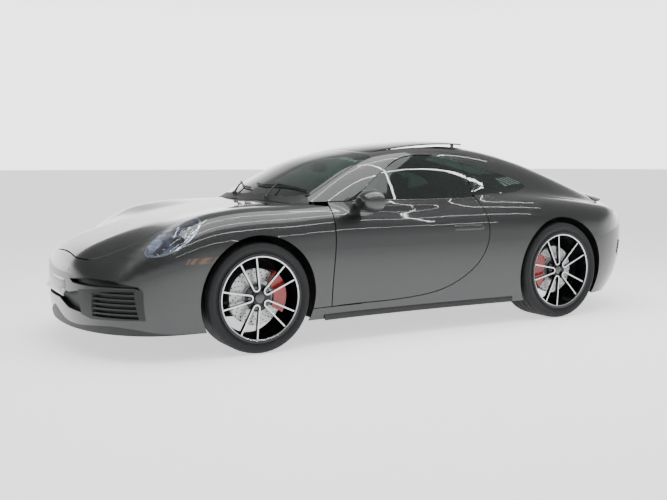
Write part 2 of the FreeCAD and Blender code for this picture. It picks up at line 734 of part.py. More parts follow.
# Outlines of the panels in millimetres
lid_runs = mirrored(straight(mm_plan(lid_front_shares)) + [mm_plan(lid_side_shares), mm_plan(lid_rear_shares)])
fender_cut_runs = mirrored(straight(mm_plan(lid_front_shares))
                           + [mm_plan(lid_side_shares), mm_plan(cowl_side_shares)]
                           + straight(mm_plan(fender_cut_shares)))
lid_nose_runs = [mm_front(lid_edge_shares)] + straight(mm_front(lid_rest_shares))
door_runs = [mm_side(door_front_shares), mm_side(door_foot_shares), mm_side(door_top_shares)]
door_core_runs = straight(mm_side(door_core_shares))
window_runs = straight(mm_side(window_tip_shares)) + [mm_side(window_top_shares), mm_side(window_foot_shares)]
window_runs += straight(mm_side((window_foot_shares[-1], window_tip_shares[0])))
pane_runs = straight(mm_side(window_tip_shares)) + [mm_side(window_top_shares), mm_side(window_foot_shares)]
pane_runs += straight(mm_side((window_foot_shares[-1],) + pane_foot_shares))
fender_runs = [mm_side(bumper_line_shares[::-1])] + straight(mm_side(fender_foot_shares))
fender_runs += [mm_side(door_front_shares[::-1]), mm_side(pillar_foot_shares)]
fender_runs += straight(mm_side(fender_head_shares))
centre_runs = mirrored(straight(mm_plan(centre_head_shares))
                       + [mm_plan(screen_side_shares), mm_plan(roof_side_shares),
                          mm_plan(rear_screen_side_shares), mm_plan(rear_lid_side_shares)]
                       + straight(mm_plan(centre_tail_shares)))
frame_runs = [mm_side(tail_seam_shares[::-1])] + straight(mm_side(frame_rest_shares))
tail_runs = [mm_side(tail_seam_shares)] + straight(mm_side(tail_rest_shares))
nose_runs = [mm_side(bumper_line_shares)] + straight(mm_side(nose_rest_shares))
screen_runs = mirrored([mm_plan(screen_foot_shares), mm_plan(screen_side_shares), mm_plan(screen_head_shares)])
roof_runs = mirrored([mm_plan(screen_head_shares[::-1]), mm_plan(roof_side_shares), mm_plan(roof_rear_shares)])
rear_screen_runs = mirrored([mm_plan(roof_rear_shares[::-1]), mm_plan(rear_screen_side_shares),
                             mm_plan(rear_screen_foot_shares)])
rear_lid_runs = mirrored([mm_plan(rear_screen_foot_shares[::-1]), mm_plan(rear_lid_side_shares)]
                         + straight(mm_plan(centre_tail_shares)))
hatch_runs = mirrored([mm_plan(sunroof_front_shares), mm_plan(sunroof_side_shares), mm_plan(sunroof_rear_shares)])
wing_runs = mirrored([mm_plan(wing_front_shares), mm_plan(wing_tip_shares), mm_plan(wing_rear_shares)])
cowl_runs = mirrored([mm_plan(lid_rear_shares[::-1]), mm_plan(cowl_side_shares[:3]),
                      mm_plan((cowl_side_shares[2],) + cowl_corner_shares + (screen_foot_shares[3],)),
                      mm_plan(screen_foot_shares[3::-1])])
vent_runs = mirrored(straight(mm_plan(engine_vent_shares)))


def arch_tube(axle, radius, inner_share=0.486):
    """Room for one wheel and its opening in the skin, on the left side."""
    inner = half_width * inner_share
    return Part.makeCylinder(radius, half_width * two, Vector(axle.x, inner, axle.z), Vector(0, one, 0))


def on_both_sides(shape):
    return Part.makeCompound(both(shape))


lip_width = size("lip_width")
overrun = depth
low_plan = height * waist_share
top_plan = height * cabin_floor_share
front_arch = arch_tube(front_axle, size("front_arch_radius"))
rear_arch = arch_tube(rear_axle, size("rear_arch_radius"))
front_lip_room = arch_tube(front_axle, size("front_arch_radius") + lip_width)
rear_lip_room = arch_tube(rear_axle, size("rear_arch_radius") + lip_width)


def with_arch_lip(panel, patch, lip_room, arch):
    """Folds the edge of a panel in round the wheel arch."""
    fold = layer(patch, inward, hem, lip).common(lip_room.cut(arch))
    return panel.cut(arch).fuse(fold)


def hemmed(patch, way, edge, body):
    """Moving panel in two solids: the skin out to its thin edge and the inner frame."""
    return layer(patch, way, 0, hem).common(edge), layer(patch, way, hem * half, depth).common(body)


# Headlamp: an oval on a plane that leans with the fender
lamp_normal = Vector(0.4696, 0.4115, 0.7811)
lamp_centre_shares = (0.1184, 0.7924, 0.5504)
lamp_tilt = 16.0


def lamp_tube(grow, near, far):
    along = Vector(one, 0, 0) - lamp_normal * lamp_normal.x
    along.normalize()
    turn = Rotation(lamp_normal, lamp_tilt)
    along = turn.multVec(along)
    s, a, h = lamp_centre_shares
    centre = Vector(nose_x - s * length, a * half_width, h * height)
    oval = Part.Ellipse(Vector(0, 0, 0), size("lamp_length_radius") + grow, size("lamp_width_radius") + grow)
    face = Part.Face(Part.Wire(oval.toShape()))
    solid = face.extrude(Vector(0, 0, far - near))
    place = Rotation(along, lamp_normal.cross(along), lamp_normal, "ZXY")
    solid.Placement = Placement(centre + lamp_normal * near, place)
    return solid


lamp_reach = size("lamp_length_radius")
lamp_room = lamp_tube(seam, -lamp_reach, lamp_reach)
marker_room = side_prism(closed(mm_side(marker_shares[:-1])), 0.0, half_width * half)

# Front wings
fender_patch = flank_patch(0.032, 0.3560, 36, -24.0, 74.0, 42, lower_field)
door_room = side_prism(door_runs, gap)
door_hinge_room = door_room.copy()
door_hinge_room.translate(Vector(hinge_gap - gap, 0, 0))
fender = with_arch_lip(layer(fender_patch, inward, 0, depth), fender_patch, front_lip_room, front_arch)
fender = fender.common(side_prism(fender_runs, -seam * half))
fender = fender.cut(plan_prism(fender_cut_runs, seam * half, low_plan)).cut(plan_prism(lid_runs, gap, low_plan))
fender = fender.cut(door_room).cut(door_hinge_room).cut(lamp_room).cut(marker_room)
fender_left, fender_right = both(largest(fender))
add_shape("fender_left", fender_left)
add_shape("fender_right", fender_right)

# Doors, with a step so that the thick inner part clears the opening
door_patch = flank_patch(0.330, 0.6300, 30, -24.0, 33.0, 30, outside)
door_skin, door_frame = hemmed(door_patch, inward, side_prism(door_runs), side_prism(door_runs, -hem_width))
core_face = door_patch.toShape()
core_face.translate(inward * (depth - hem * half))
door_core = core_face.extrude(Vector(0, -one, 0) * (size("door_depth") - depth))
door_core = door_core.common(side_prism(door_runs, -size("door_step"))).common(side_prism(door_core_runs))
pane_patch = flank_patch(0.3400, 0.6400, 24, 0.0, 50.0, 26, cabin_field, screen_axis_share)
pane = layer(pane_patch, inward, 0, glass).common(side_prism(pane_runs, -gap))
pane = pane.common(side_prism(straight(mm_side(front_pane_shares)))).cut(side_prism(door_runs, fit))

# Hinge leaves that swing the door clear of the wing
pin = size("hinge_pin_radius")
leaf = size("hinge_leaf_depth")
door_hinge_shares = (0.3337, 0.9320)
door_hinge = Vector(nose_x - door_hinge_shares[0] * length, door_hinge_shares[-1] * half_width, 0)
door_leaf_height_shares = (0.36, 0.44)
door_leaf_reach = size("door_step") + (door_hinge.x - mm_side(door_front_shares)[0][0])
door_leaf_shares = ((0.0, 0.0), (-0.05, -0.50), (-0.55, -0.72), (-1.30, -0.72))


def strip(points, wide, place, along):
    """Bent flat bar: the given centre line, drawn out along a vector."""
    bars = []
    for p, q in zip(points, points[1:]):
        u, v = unit(q[0] - p[0], q[-1] - p[-1])
        a = (p[0] - u * wide * half, p[-1] - v * wide * half)
        b = (q[0] + u * wide * half, q[-1] + v * wide * half)
        side = (-v * wide * half, u * wide * half)
        corners = [(a[0] + side[0], a[-1] + side[-1]), (b[0] + side[0], b[-1] + side[-1]),
                   (b[0] - side[0], b[-1] - side[-1]), (a[0] - side[0], a[-1] - side[-1])]
        bars.append(prism(closed(corners), 0.0, place, along))
    return bars[0].fuse(bars[1:])


def door_leaf(z):
    points = [(door_hinge.x + u * door_leaf_reach, door_hinge.y + v * door_leaf_reach)
              for u, v in door_leaf_shares]
    bar = strip(points, leaf, lambda u, v: Vector(u, v, z), Vector(0, 0, leaf * two))
    knuckle = Part.makeCylinder(pin + hem * half, leaf * two, Vector(door_hinge.x, door_hinge.y, z))
    return bar.fuse(knuckle)


door_leaves = [door_leaf(height * h) for h in door_leaf_height_shares]
door_left, door_right = both(door_skin.fuse([door_frame, door_core] + door_leaves))
add_shape("door_left", largest(door_left))
add_shape("door_right", largest(door_right))
pane_left, pane_right = both(pane)
add_shape("door_glass_left", pane_left)
add_shape("door_glass_right", pane_right)

# Body sides: sill, pillars, roof rail and rear haunch
frame_patch = flank_patch(0.2850, 0.9900, 62, -24.0, 66.0, 46, outside)
frame = with_arch_lip(layer(frame_patch, inward, 0, depth), frame_patch, rear_lip_room, rear_arch)
frame = frame.common(side_prism(frame_runs, -seam * half)).cut(door_room).cut(side_prism(window_runs))
frame = frame.cut(plan_prism(centre_runs, seam * half, top_plan)).cut(plan_prism(cowl_runs, seam * half, low_plan))
frame = frame.cut(side_prism(fender_runs, seam * half)).cut(front_arch)
frame_left, frame_right = both(largest(frame))
add_shape("side_frame_left", frame_left)
add_shape("side_frame_right", frame_right)
quarter_patch = flank_patch(0.6000, 0.7700, 18, 24.0, 56.0, 26, outside)
quarter_box = side_prism(straight(mm_side(rear_pane_shares)))
quarter = layer(quarter_patch, inward, 0, glass).common(side_prism(window_runs, -seal * half)).common(quarter_box)
add_shape("quarter_glass", on_both_sides(quarter))
quarter_seal = layer(quarter_patch, inward, 0, depth).common(side_prism(window_runs)).common(quarter_box)
quarter_seal = quarter_seal.cut(side_prism(window_runs, -seal * half).common(quarter_box))

# Lids, roof and screens
lid_patch = crown_patch(lambda a: nose_plan(a) + 0.0100, lambda a: 0.3080, 36, 0.70, 17, lower_field)
lid_edge = plan_prism(lid_runs, 0.0, low_plan).common(front_prism(lid_nose_runs))
lid_body = plan_prism(lid_runs, -hem_width, low_plan).common(front_prism(lid_nose_runs, -hem_width))
front_lid, lid_frame = hemmed(lid_patch, downward, lid_edge, lid_body)
lid_room = plan_prism(lid_runs, gap, low_plan).common(front_prism(lid_nose_runs, gap))

# Lid hinges: hooked leaves that lift through the opening shut line
front_hinge_shares = (0.3149, 0.6048, 0.6703)
front_hinge_reach_share = 0.0194
rear_hinge_shares = (0.8209, 0.3240, 0.8012)
rear_hinge_reach_share = 0.0189
hook_shares = ((0.0, 0.0), (0.22, -0.70), (0.69, -0.83), (1.0, -0.57), (1.2, -0.10))
front_hook_end_shares = ((1.3, 0.20),)
rear_hook_end_shares = ((1.3, 0.02),)


def hinge_point(shares):
    s, a, h = shares
    return Vector(nose_x - s * length, a * half_width, h * height)


def lid_leaf(at, reach, turn, end_shares):
    points = [(at.x + turn * u * reach, at.z + v * reach) for u, v in hook_shares + end_shares]
    bar = strip(points, leaf, lambda u, v: Vector(u, at.y, v), Vector(0, leaf, 0))
    knuckle = Part.makeCylinder(pin * two, leaf, at, Vector(0, one, 0))
    return bar.fuse(knuckle)


front_hinge = hinge_point(front_hinge_shares)
front_leaf = lid_leaf(front_hinge, front_hinge_reach_share * length, one, front_hook_end_shares)
add_shape("front_lid", front_lid.fuse([lid_frame] + list(both(front_leaf))))

screen_foot = spline([(a, s) for s, a in screen_foot_shares])
screen_patch = crown_patch(lambda a: screen_foot(a) - 0.006, lambda a: 0.4600, 24, 0.72, 15, cabin_field,
                           screen_axis_share)
screen_hole = plan_prism(screen_runs, -seal * half, top_plan)
add_shape("windscreen", layer(screen_patch, downward, 0, glass).common(screen_hole))
screen_seal = layer(screen_patch, downward, 0, depth).common(plan_prism(screen_runs, -seam * half, top_plan))
screen_seal = screen_seal.cut(screen_hole)

roof_patch = crown_patch(lambda a: 0.4350, lambda a: 0.7150, 24, 0.62, 13, cabin_field, screen_axis_share)
roof = layer(roof_patch, downward, 0, depth).common(plan_prism(roof_runs, -seam * half, top_plan))
roof = roof.cut(plan_prism(hatch_runs, gap, top_plan))
ledge_width = seal * two
ledge = layer(roof_patch, downward, depth - hem, depth + hem).common(plan_prism(hatch_runs, ledge_width, top_plan))
ledge = ledge.cut(plan_prism(hatch_runs, -ledge_width, top_plan))
hatch_tilt = 2.4
hatch_pivot_shares = (0.4525, 0.0, 0.9600)
hatch = layer(roof_patch, downward, 0, depth - hem - fit).common(plan_prism(hatch_runs, 0.0, top_plan))
hatch.rotate(hinge_point(hatch_pivot_shares), Vector(0, one, 0), hatch_tilt)
lifter_shares = (0.6250, 0.4520, 0.9620)
lifter_foot = hinge_point(lifter_shares)
lifter = block(lifter_foot, lifter_foot + Vector(seal * two, hem, height - lifter_foot.z))
below_hatch = layer(roof_patch, downward, depth - hem, lip * two)
below_hatch.rotate(hinge_point(hatch_pivot_shares), Vector(0, one, 0), hatch_tilt)
lifter = lifter.common(below_hatch)
add_shape("roof_panel", roof.fuse([ledge] + list(both(lifter))))
add_shape("sunroof_panel", hatch)

rear_patch = crown_patch(lambda a: 0.6900, lambda a: 0.8600, 18, 0.56, 12, cabin_field, screen_axis_share)
rear_hole = plan_prism(rear_screen_runs, -seal * half, top_plan)
rear_lid_room = plan_prism(rear_lid_runs, hinge_gap, top_plan)
add_shape("rear_screen", layer(rear_patch, downward, 0, glass).common(rear_hole).cut(rear_lid_room))
rear_seal = layer(rear_patch, downward, 0, depth).common(plan_prism(rear_screen_runs, -seam * half, top_plan))
rear_seal = rear_seal.cut(rear_hole).cut(plan_prism(rear_lid_runs, hinge_gap + hem, top_plan))
add_shape("glass_seals", Part.makeCompound([screen_seal, rear_seal] + list(both(quarter_seal))))

# Engine lid with its louvres, the recess for the wing and the wing
wing_depth = depth * two
recess_depth = wing_depth + gap
deck_patch = crown_patch(lambda a: 0.8200, lambda a: 0.9845 - tail_plan(a), 22, 0.70, 14, outside)
deck_rest = across_prism(straight(mm_side(deck_rest_shares)))
wing_hole = plan_prism(wing_runs, gap, top_plan)
deck_holes = [wing_hole, plan_prism(vent_runs, 0.0, top_plan)]
deck_edge = plan_prism(rear_lid_runs, 0.0, top_plan).common(deck_rest).cut(deck_holes)
deck_body = plan_prism(rear_lid_runs, -hem_width, top_plan).common(deck_rest).cut(deck_holes)
deck, deck_frame = hemmed(deck_patch, downward, deck_edge, deck_body)

# Black louvres and the tray under the wing
louvre_count = 17
louvre_pitch = vent_half_share * half_width * two / (louvre_count + 1)
louvres = []
for i in range(louvre_count):
    y = louvre_pitch * (i - (louvre_count - 1) * half)
    louvres.append(block((-length, y - hem, 0), (0, y + hem, height)))
vent_edge = plan_prism(vent_runs, -fit, top_plan)
vent_room = plan_prism(vent_runs, -seal, top_plan)
grid = layer(deck_patch, downward, hem * half, depth).common(vent_edge.cut(vent_room))
slats = layer(deck_patch, downward, hem, depth - hem * half).common(plan_prism(vent_runs, -hem, top_plan))
slats = slats.common(Part.makeCompound(louvres))
grid = grid.fuse(slats)
tray_outline = plan_prism(wing_runs, gap + hem, top_plan).common(plan_prism(rear_lid_runs, 0.0, top_plan))
tray = layer(deck_patch, downward, depth + fit, recess_depth + hem).common(tray_outline)
tray = tray.cut(layer(deck_patch, downward, 0, recess_depth).common(wing_hole))
bar_room = Part.makeBox(length, length, height * (light_bar_share["head"] + light_bar_share["lift"]),
                        Vector(-length, -length * half, 0))
tray = tray.cut(bar_room)
wing = layer(deck_patch, downward, 0, wing_depth).common(plan_prism(wing_runs, 0.0, top_plan)).cut(bar_room)
wing_hinge_shares = (0.9190, 0.2700, 0.7350)
wing_hinge = hinge_point(wing_hinge_shares)
wing_raise = 10.0
wing.rotate(wing_hinge, Vector(0, one, 0), wing_raise)
arm_radius = size("wing_arm_radius")


def arm_ring(spare):
    """Slice of a tube round the wing hinge, in which a lifting arm slides."""
    foot = wing_hinge - Vector(0, spare, 0)
    outer = Part.makeCylinder(arm_radius + leaf + spare, leaf + spare * two, foot, Vector(0, one, 0))
    inner = Part.makeCylinder(arm_radius - leaf - spare, leaf + spare * two, foot, Vector(0, one, 0))
    behind = block((-length, 0, 0), (wing_hinge.x, half_width, height))
    return outer.cut(inner).common(behind)


arm_travel = arm_radius * math.radians(wing_raise)
arm = layer(deck_patch, downward, depth, recess_depth + hem + gap + arm_travel).common(arm_ring(0.0))
arm.rotate(wing_hinge, Vector(0, one, 0), wing_raise)
for ring in both(arm_ring(fit)):
    tray = tray.cut(ring)
rear_hinge = hinge_point(rear_hinge_shares)
rear_leaf = lid_leaf(rear_hinge, rear_hinge_reach_share * length, -one, rear_hook_end_shares)
add_shape("rear_lid", deck.fuse([deck_frame] + list(both(rear_leaf))))
add_shape("rear_lid_grille", Part.makeCompound([largest(grid), largest(tray)]))
add_shape("spoiler", wing.fuse(list(both(arm))))

cowl_patch = crown_patch(lambda a: 0.2700, lambda a: 0.3460, 26, 0.80, 22, outside)
cowl_outline = plan_prism(cowl_runs, -seam * half, low_plan)
cowl = layer(cowl_patch, downward, 0, depth).common(cowl_outline).cut(plan_prism(lid_runs, hinge_gap, low_plan))
cowl = cowl.cut(plan_prism(screen_runs, seam * half, low_plan))
add_shape("cowl", largest(cowl))

# Front bumper with its intakes
nose_centre_share = 0.1511
nose_foot_share = 0.1230
nose_head_share = 0.4970
nose_rows = 16
nose_columns = 49
fan_spare_share = 0.0040
sweep_spare = 1.0
nose_heights = steps(nose_foot_share, nose_head_share, nose_rows)
nose_skin, nose_hem, nose_lip, nose_slot, nose_end = fan_surfaces(
    nose_centre_share, one, sweep_angle, nose_columns, nose_heights, (0.0, hem, lip, lip + hem, lip + depth))
nose_heights = steps(nose_foot_share - fan_spare_share, nose_head_share + fan_spare_share, nose_rows + 1)
nose_fold, nose_wall, nose_back = fan_surfaces(
    nose_centre_share, one, sweep_angle + sweep_spare, nose_columns + 1, nose_heights,
    (depth, lip, lip + depth * two))
nose_deep = closed_slab(nose_skin, nose_end)
nose_backing = closed_slab(nose_wall, nose_back)
nose_slats = closed_slab(nose_hem, nose_slot)
nose_hollow = closed_slab(nose_fold, nose_back)
for room in both(front_lip_room):
    nose_hollow = nose_hollow.cut(room)
corner_room = front_prism(closed(mm_front(corner_intake_shares)))
slat_room = front_prism(closed(mm_front(slat_room_shares)))
centre_room = front_prism(closed(mm_front(centre_intake_shares)))
band_room = front_prism(closed(mm_front(recess_band_shares)))
splitter_room = front_prism([mm_front(splitter_edge_shares)] + straight(mm_front(splitter_rest_shares)))
bumper = closed_slab(nose_skin, nose_lip).common(across_prism(nose_runs)).cut(nose_hollow)
for room in both(front_arch) + both(corner_room) + both(band_room) + both(marker_room):
    bumper = bumper.cut(room)
bumper = bumper.cut(lid_room).cut(centre_room).cut(splitter_room)
add_shape("front_bumper", largest(bumper))

# Black intake insert: a surround, a set back wall and level slats
slat_count = 5
slat_pitch_share = 0.0220
slat_depth_share = 0.0080
slat_foot_share = 0.2130
slats = []
for i in range(slat_count):
    low = (slat_foot_share + slat_pitch_share * i) * height
    slats.append(block((0, half_width * half, low), (nose_x, half_width, low + slat_depth_share * height)))
slat_bars = nose_slats.common(slat_room).common(Part.makeCompound(slats))
surround = nose_deep.common(corner_room).cut(slat_room.cut(nose_backing))
band_inner = front_prism(closed(mm_front(recess_band_shares)), -hem)
band = nose_deep.common(band_room).cut(band_inner.cut(nose_backing))
insert = surround.fuse([slat_bars, band])
centre_inner = front_prism(closed(mm_front(centre_intake_shares)), -hem)
centre_insert = nose_deep.common(centre_room).cut(centre_inner.cut(nose_backing))
corner_clear = front_prism(closed(mm_front(corner_intake_shares)), fit)
for room in both(corner_clear):
    centre_insert = centre_insert.cut(room)
splitter = nose_deep.common(splitter_room).cut(nose_hollow)
for room in both(front_arch):
    splitter = splitter.cut(room)
add_shape("front_grille", Part.makeCompound([largest(insert), largest(insert).mirror(Vector(), Vector(0, one, 0)),
                                             largest(centre_insert), largest(splitter)]))

# Rear bumper, light bar and the black parts below
tail_centre_share = 0.8327
tail_head_share = 0.6160
tail_rows = 18
bar_foot_share = 0.5200
bar_head_share = 0.7200
tail_heights = steps(nose_foot_share, tail_head_share, tail_rows)
tail_skin, tail_hem, tail_lip, tail_slot, tail_end = fan_surfaces(
    tail_centre_share, -one, sweep_angle, nose_columns, tail_heights, (0.0, hem, lip, lip + hem, lip + depth))
tail_heights = steps(nose_foot_share - fan_spare_share, tail_head_share + fan_spare_share, tail_rows + 1)
tail_fold, tail_wall, tail_back = fan_surfaces(
    tail_centre_share, -one, sweep_angle + sweep_spare, nose_columns + 1, tail_heights,
    (depth, lip, lip + depth * two))
tail_deep = closed_slab(tail_skin, tail_end)
tail_backing = closed_slab(tail_wall, tail_back)
tail_slats = closed_slab(tail_hem, tail_slot)
tail_hollow = closed_slab(tail_fold, tail_back)
for room in both(rear_lip_room):
    tail_hollow = tail_hollow.cut(room)
vent_room = rear_prism(closed(mm_front(rear_vent_shares)))
diffuser_room = rear_prism(closed(mm_front(diffuser_shares)))
tail = closed_slab(tail_skin, tail_lip).common(across_prism(tail_runs, -seam * half)).cut(tail_hollow)
for room in both(rear_arch) + both(vent_room):
    tail = tail.cut(room)
tail = tail.cut(diffuser_room)
add_shape("rear_bumper", largest(tail))
vent_slats = []
for i in range(slat_count):
    low = (0.3150 + slat_pitch_share * i) * height
    vent_slats.append(block((-nose_x, half_width * half, low), (0, half_width, low + slat_depth_share * height)))
vent_inner = rear_prism(closed(mm_front(rear_vent_shares)), -hem)
vent = tail_deep.common(vent_room).cut(vent_inner.cut(tail_backing))
vent = vent.fuse(tail_slats.common(vent_room).common(Part.makeCompound(vent_slats)))
fin_count = 5
fin_pitch_share = 0.1100
fins = [block((-nose_x, (fin_pitch_share * i - fin_pitch_share * (fin_count - 1) * half) * half_width - hem * half, 0),
              (0, (fin_pitch_share * i - fin_pitch_share * (fin_count - 1) * half) * half_width + hem * half, height))
        for i in range(fin_count)]
rim_room = rear_prism(closed(mm_front(diffuser_shares)), -hem)
diffuser = tail_deep.common(diffuser_room).cut(rim_room.cut(tail_backing))
diffuser = diffuser.fuse(tail_slats.common(diffuser_room).common(Part.makeCompound(fins)))
pipe_at = Vector(-length, half_width * tail_pipe_share, height * tail_pipe_height_share)
pipe_room = Part.makeCylinder(size("exhaust_radius") + hem, length, pipe_at, Vector(one, 0, 0))
diffuser = largest(diffuser.cut(list(both(pipe_room))))
add_shape("rear_grilles", Part.makeCompound(list(both(largest(vent))) + [diffuser]))
bar_layers = fan_surfaces(tail_centre_share, -one, sweep_angle, nose_columns,
                          steps(bar_foot_share, bar_head_share, nose_rows), (0.0, depth))
bar_box = block((nose_x - light_bar_share["front"] * length - length, -half_width, light_bar_share["foot"] * height),
                (nose_x - light_bar_share["front"] * length, half_width, light_bar_share["head"] * height))
add_shape("tail_lamp", closed_slab(*bar_layers).common(bar_box))

# Headlamps: clear cover in a black bowl with a projector
lens_patch = flank_patch(0.066, 0.1750, 22, 4.0, 64.0, 28, lower_field)
ring = size("lamp_ring_width")
bowl_depth = size("lamp_bowl_depth")
back_from_lamp = lamp_normal * -one
lens_tube = lamp_tube(-ring, -lamp_reach, lamp_reach)
bowl = layer(lens_patch, back_from_lamp, 0, bowl_depth).common(lamp_tube(0.0, -lamp_reach, lamp_reach))
bowl = bowl.cut(layer(lens_patch, back_from_lamp, -depth, bowl_depth - hem).common(lens_tube))
lens = layer(lens_patch, back_from_lamp, 0, hem).common(lens_tube)
projector_shares = (0.1150, 0.7500, 0.5450)
projector_radius_share = 0.20
projector_at = hinge_point(projector_shares)
barrel = Part.makeCylinder(lamp_reach * projector_radius_share, bowl_depth,
                           projector_at - lamp_normal * bowl_depth * half, lamp_normal)
barrel = barrel.common(layer(lens_patch, back_from_lamp, depth, bowl_depth - hem * half))
add_shape("headlamps", on_both_sides(lens))
add_shape("lamp_housings", on_both_sides(bowl.fuse(barrel)))
marker = layer(fender_patch, inward, 0, depth).common(marker_room).cut(front_arch)
add_shape("side_markers", on_both_sides(marker))

# Sketches and features of the turned, padded and patterned pieces.
# Points are pairs of expressions in the names of the size sheet.
line_start, line_end = len("a"), len("ab")
origin = -line_start


def value(text):
    return float(sheet.evalExpression(text))


def origin_feature(body, role):
    return next(f for f in body.Origin.OriginFeatures if f.Role == role)


def new_body(name):
    body = doc.addObject("PartDesign::Body", name)
    body.Label = name
    return body


def new_sketch(body, name, role, lift=None):
    sketch = body.newObject("Sketcher::SketchObject", name)
    sketch.AttachmentSupport = [(origin_feature(body, role), "")]
    sketch.MapMode = "FlatFace"
    if lift:
        sketch.setExpression("AttachmentOffset.Base.z", lift)
    return sketch


def bind(sketch, kind, places, text):
    """Adds a sized constraint and ties it to its expression."""
    number = value(text)
    row = sketch.addConstraint(Sketcher.Constraint(kind, *places, number))
    if number:
        sketch.setExpression("Constraints[%d]" % row, text)


def outline(sketch, points, bows=()):
    """Closed chain of lines; a bow gives the side that turns into an arc, its centre and its sense."""
    spots = [tuple(value(text) for text in point) for point in points]
    count = len(points)
    arcs = {side: (centre, leftwards) for side, centre, leftwards in bows}
    ends = []
    for i, (u, v) in enumerate(spots):
        after = spots[(i + 1) % count]
        if i in arcs:
            centre, leftwards = arcs[i]
            cu, cv = (value(text) for text in centre)
            radius = math.hypot(u - cu, v - cv)
            first = math.atan2(v - cv, u - cu)
            last = math.atan2(after[-1] - cv, after[0] - cu)
            angles = (first, last) if leftwards else (last, first)
            round_line = Part.Circle(Vector(cu, cv, 0), Vector(0, 0, one), radius)
            index = sketch.addGeometry(Part.ArcOfCircle(round_line, *angles), False)
            ends.append((index, line_start, line_end) if leftwards else (index, line_end, line_start))
        else:
            line = Part.LineSegment(Vector(u, v, 0), Vector(after[0], after[-1], 0))
            ends.append((sketch.addGeometry(line, False), line_start, line_end))
    for (index, _, tail), (other, head, _) in zip(ends, ends[1:] + ends[:1]):
        sketch.addConstraint(Sketcher.Constraint("Coincident", index, tail, other, head))
    for (index, head, _), (u, v) in zip(ends, points):
        bind(sketch, "DistanceX", (origin, line_start, index, head), u)
        bind(sketch, "DistanceY", (origin, line_start, index, head), v)
    return ends


def circle(sketch, centre, radius):
    spot = Vector(value(centre[0]), value(centre[-1]), 0)
    index = sketch.addGeometry(Part.Circle(spot, Vector(0, 0, one), value(radius)), False)
    bind(sketch, "Radius", (index,), radius)
    middle = len("abc")
    bind(sketch, "DistanceX", (origin, line_start, index, middle), centre[0])
    bind(sketch, "DistanceY", (origin, line_start, index, middle), centre[-1])


def turned(body, name, points, kind="PartDesign::Revolution", bows=()):
    sketch = new_sketch(body, name + "_profile", "XZ_Plane")
    outline(sketch, points, bows)
    feature = body.newObject(kind, name)
    feature.Profile = (sketch, [""])
    feature.ReferenceAxis = (sketch, ["V_Axis"])
    feature.Angle = full_turn
    body.Tip = feature
    return feature


def padded(body, name, sketch, tall):
    feature = body.newObject("PartDesign::Pad", name)
    feature.Profile = (sketch, [""])
    feature.setExpression("Length", tall)
    body.Tip = feature
    return feature


def pocketed(body, name, sketch, deep):
    feature = body.newObject("PartDesign::Pocket", name)
    feature.Profile = (sketch, [""])
    feature.setExpression("Length", deep)
    feature.Reversed = True
    body.Tip = feature
    return feature


def around(body, name, feature, count):
    pattern = body.newObject("PartDesign::PolarPattern", name)
    pattern.Originals = [feature]
    pattern.Axis = (origin_feature(body, "Z_Axis"), [""])
    pattern.Angle = full_turn
    pattern.Occurrences = count
    body.Tip = pattern
    return pattern


# Wheels: local Z runs outwards along the axle from the middle plane
left_out = Rotation(Vector(one, 0, 0), -right_angle)
right_out = Rotation(Vector(one, 0, 0), right_angle)
tyre_profile_shares = ((0.0, -0.41), (0.55, -0.50), (1.0, -0.40), (1.0, 0.40), (0.55, 0.50), (0.0, 0.41))
disc_inner_share = 0.60
spoke_pairs = 5
spoke_slope_shares = (0.98129, 0.19252)


def wheel_place(axle, track, side):
    return Placement(Vector(axle.x, side * track * half, axle.z), left_out if side > 0 else right_out)


def add_tyre(name, end, place):
    body = new_body(name)
    base = "(Sizes.%s_rim_radius - Sizes.bead_depth)" % end
    wall = "(Sizes.%s_tyre_radius - %s)" % (end, base)
    turned(body, "tyre_ring", [("%s + %s * %r" % (base, wall, r), "Sizes.%s_tyre_width * %r" % (end, z))
                               for r, z in tyre_profile_shares])
    body.Placement = place
    pieces.append(body)


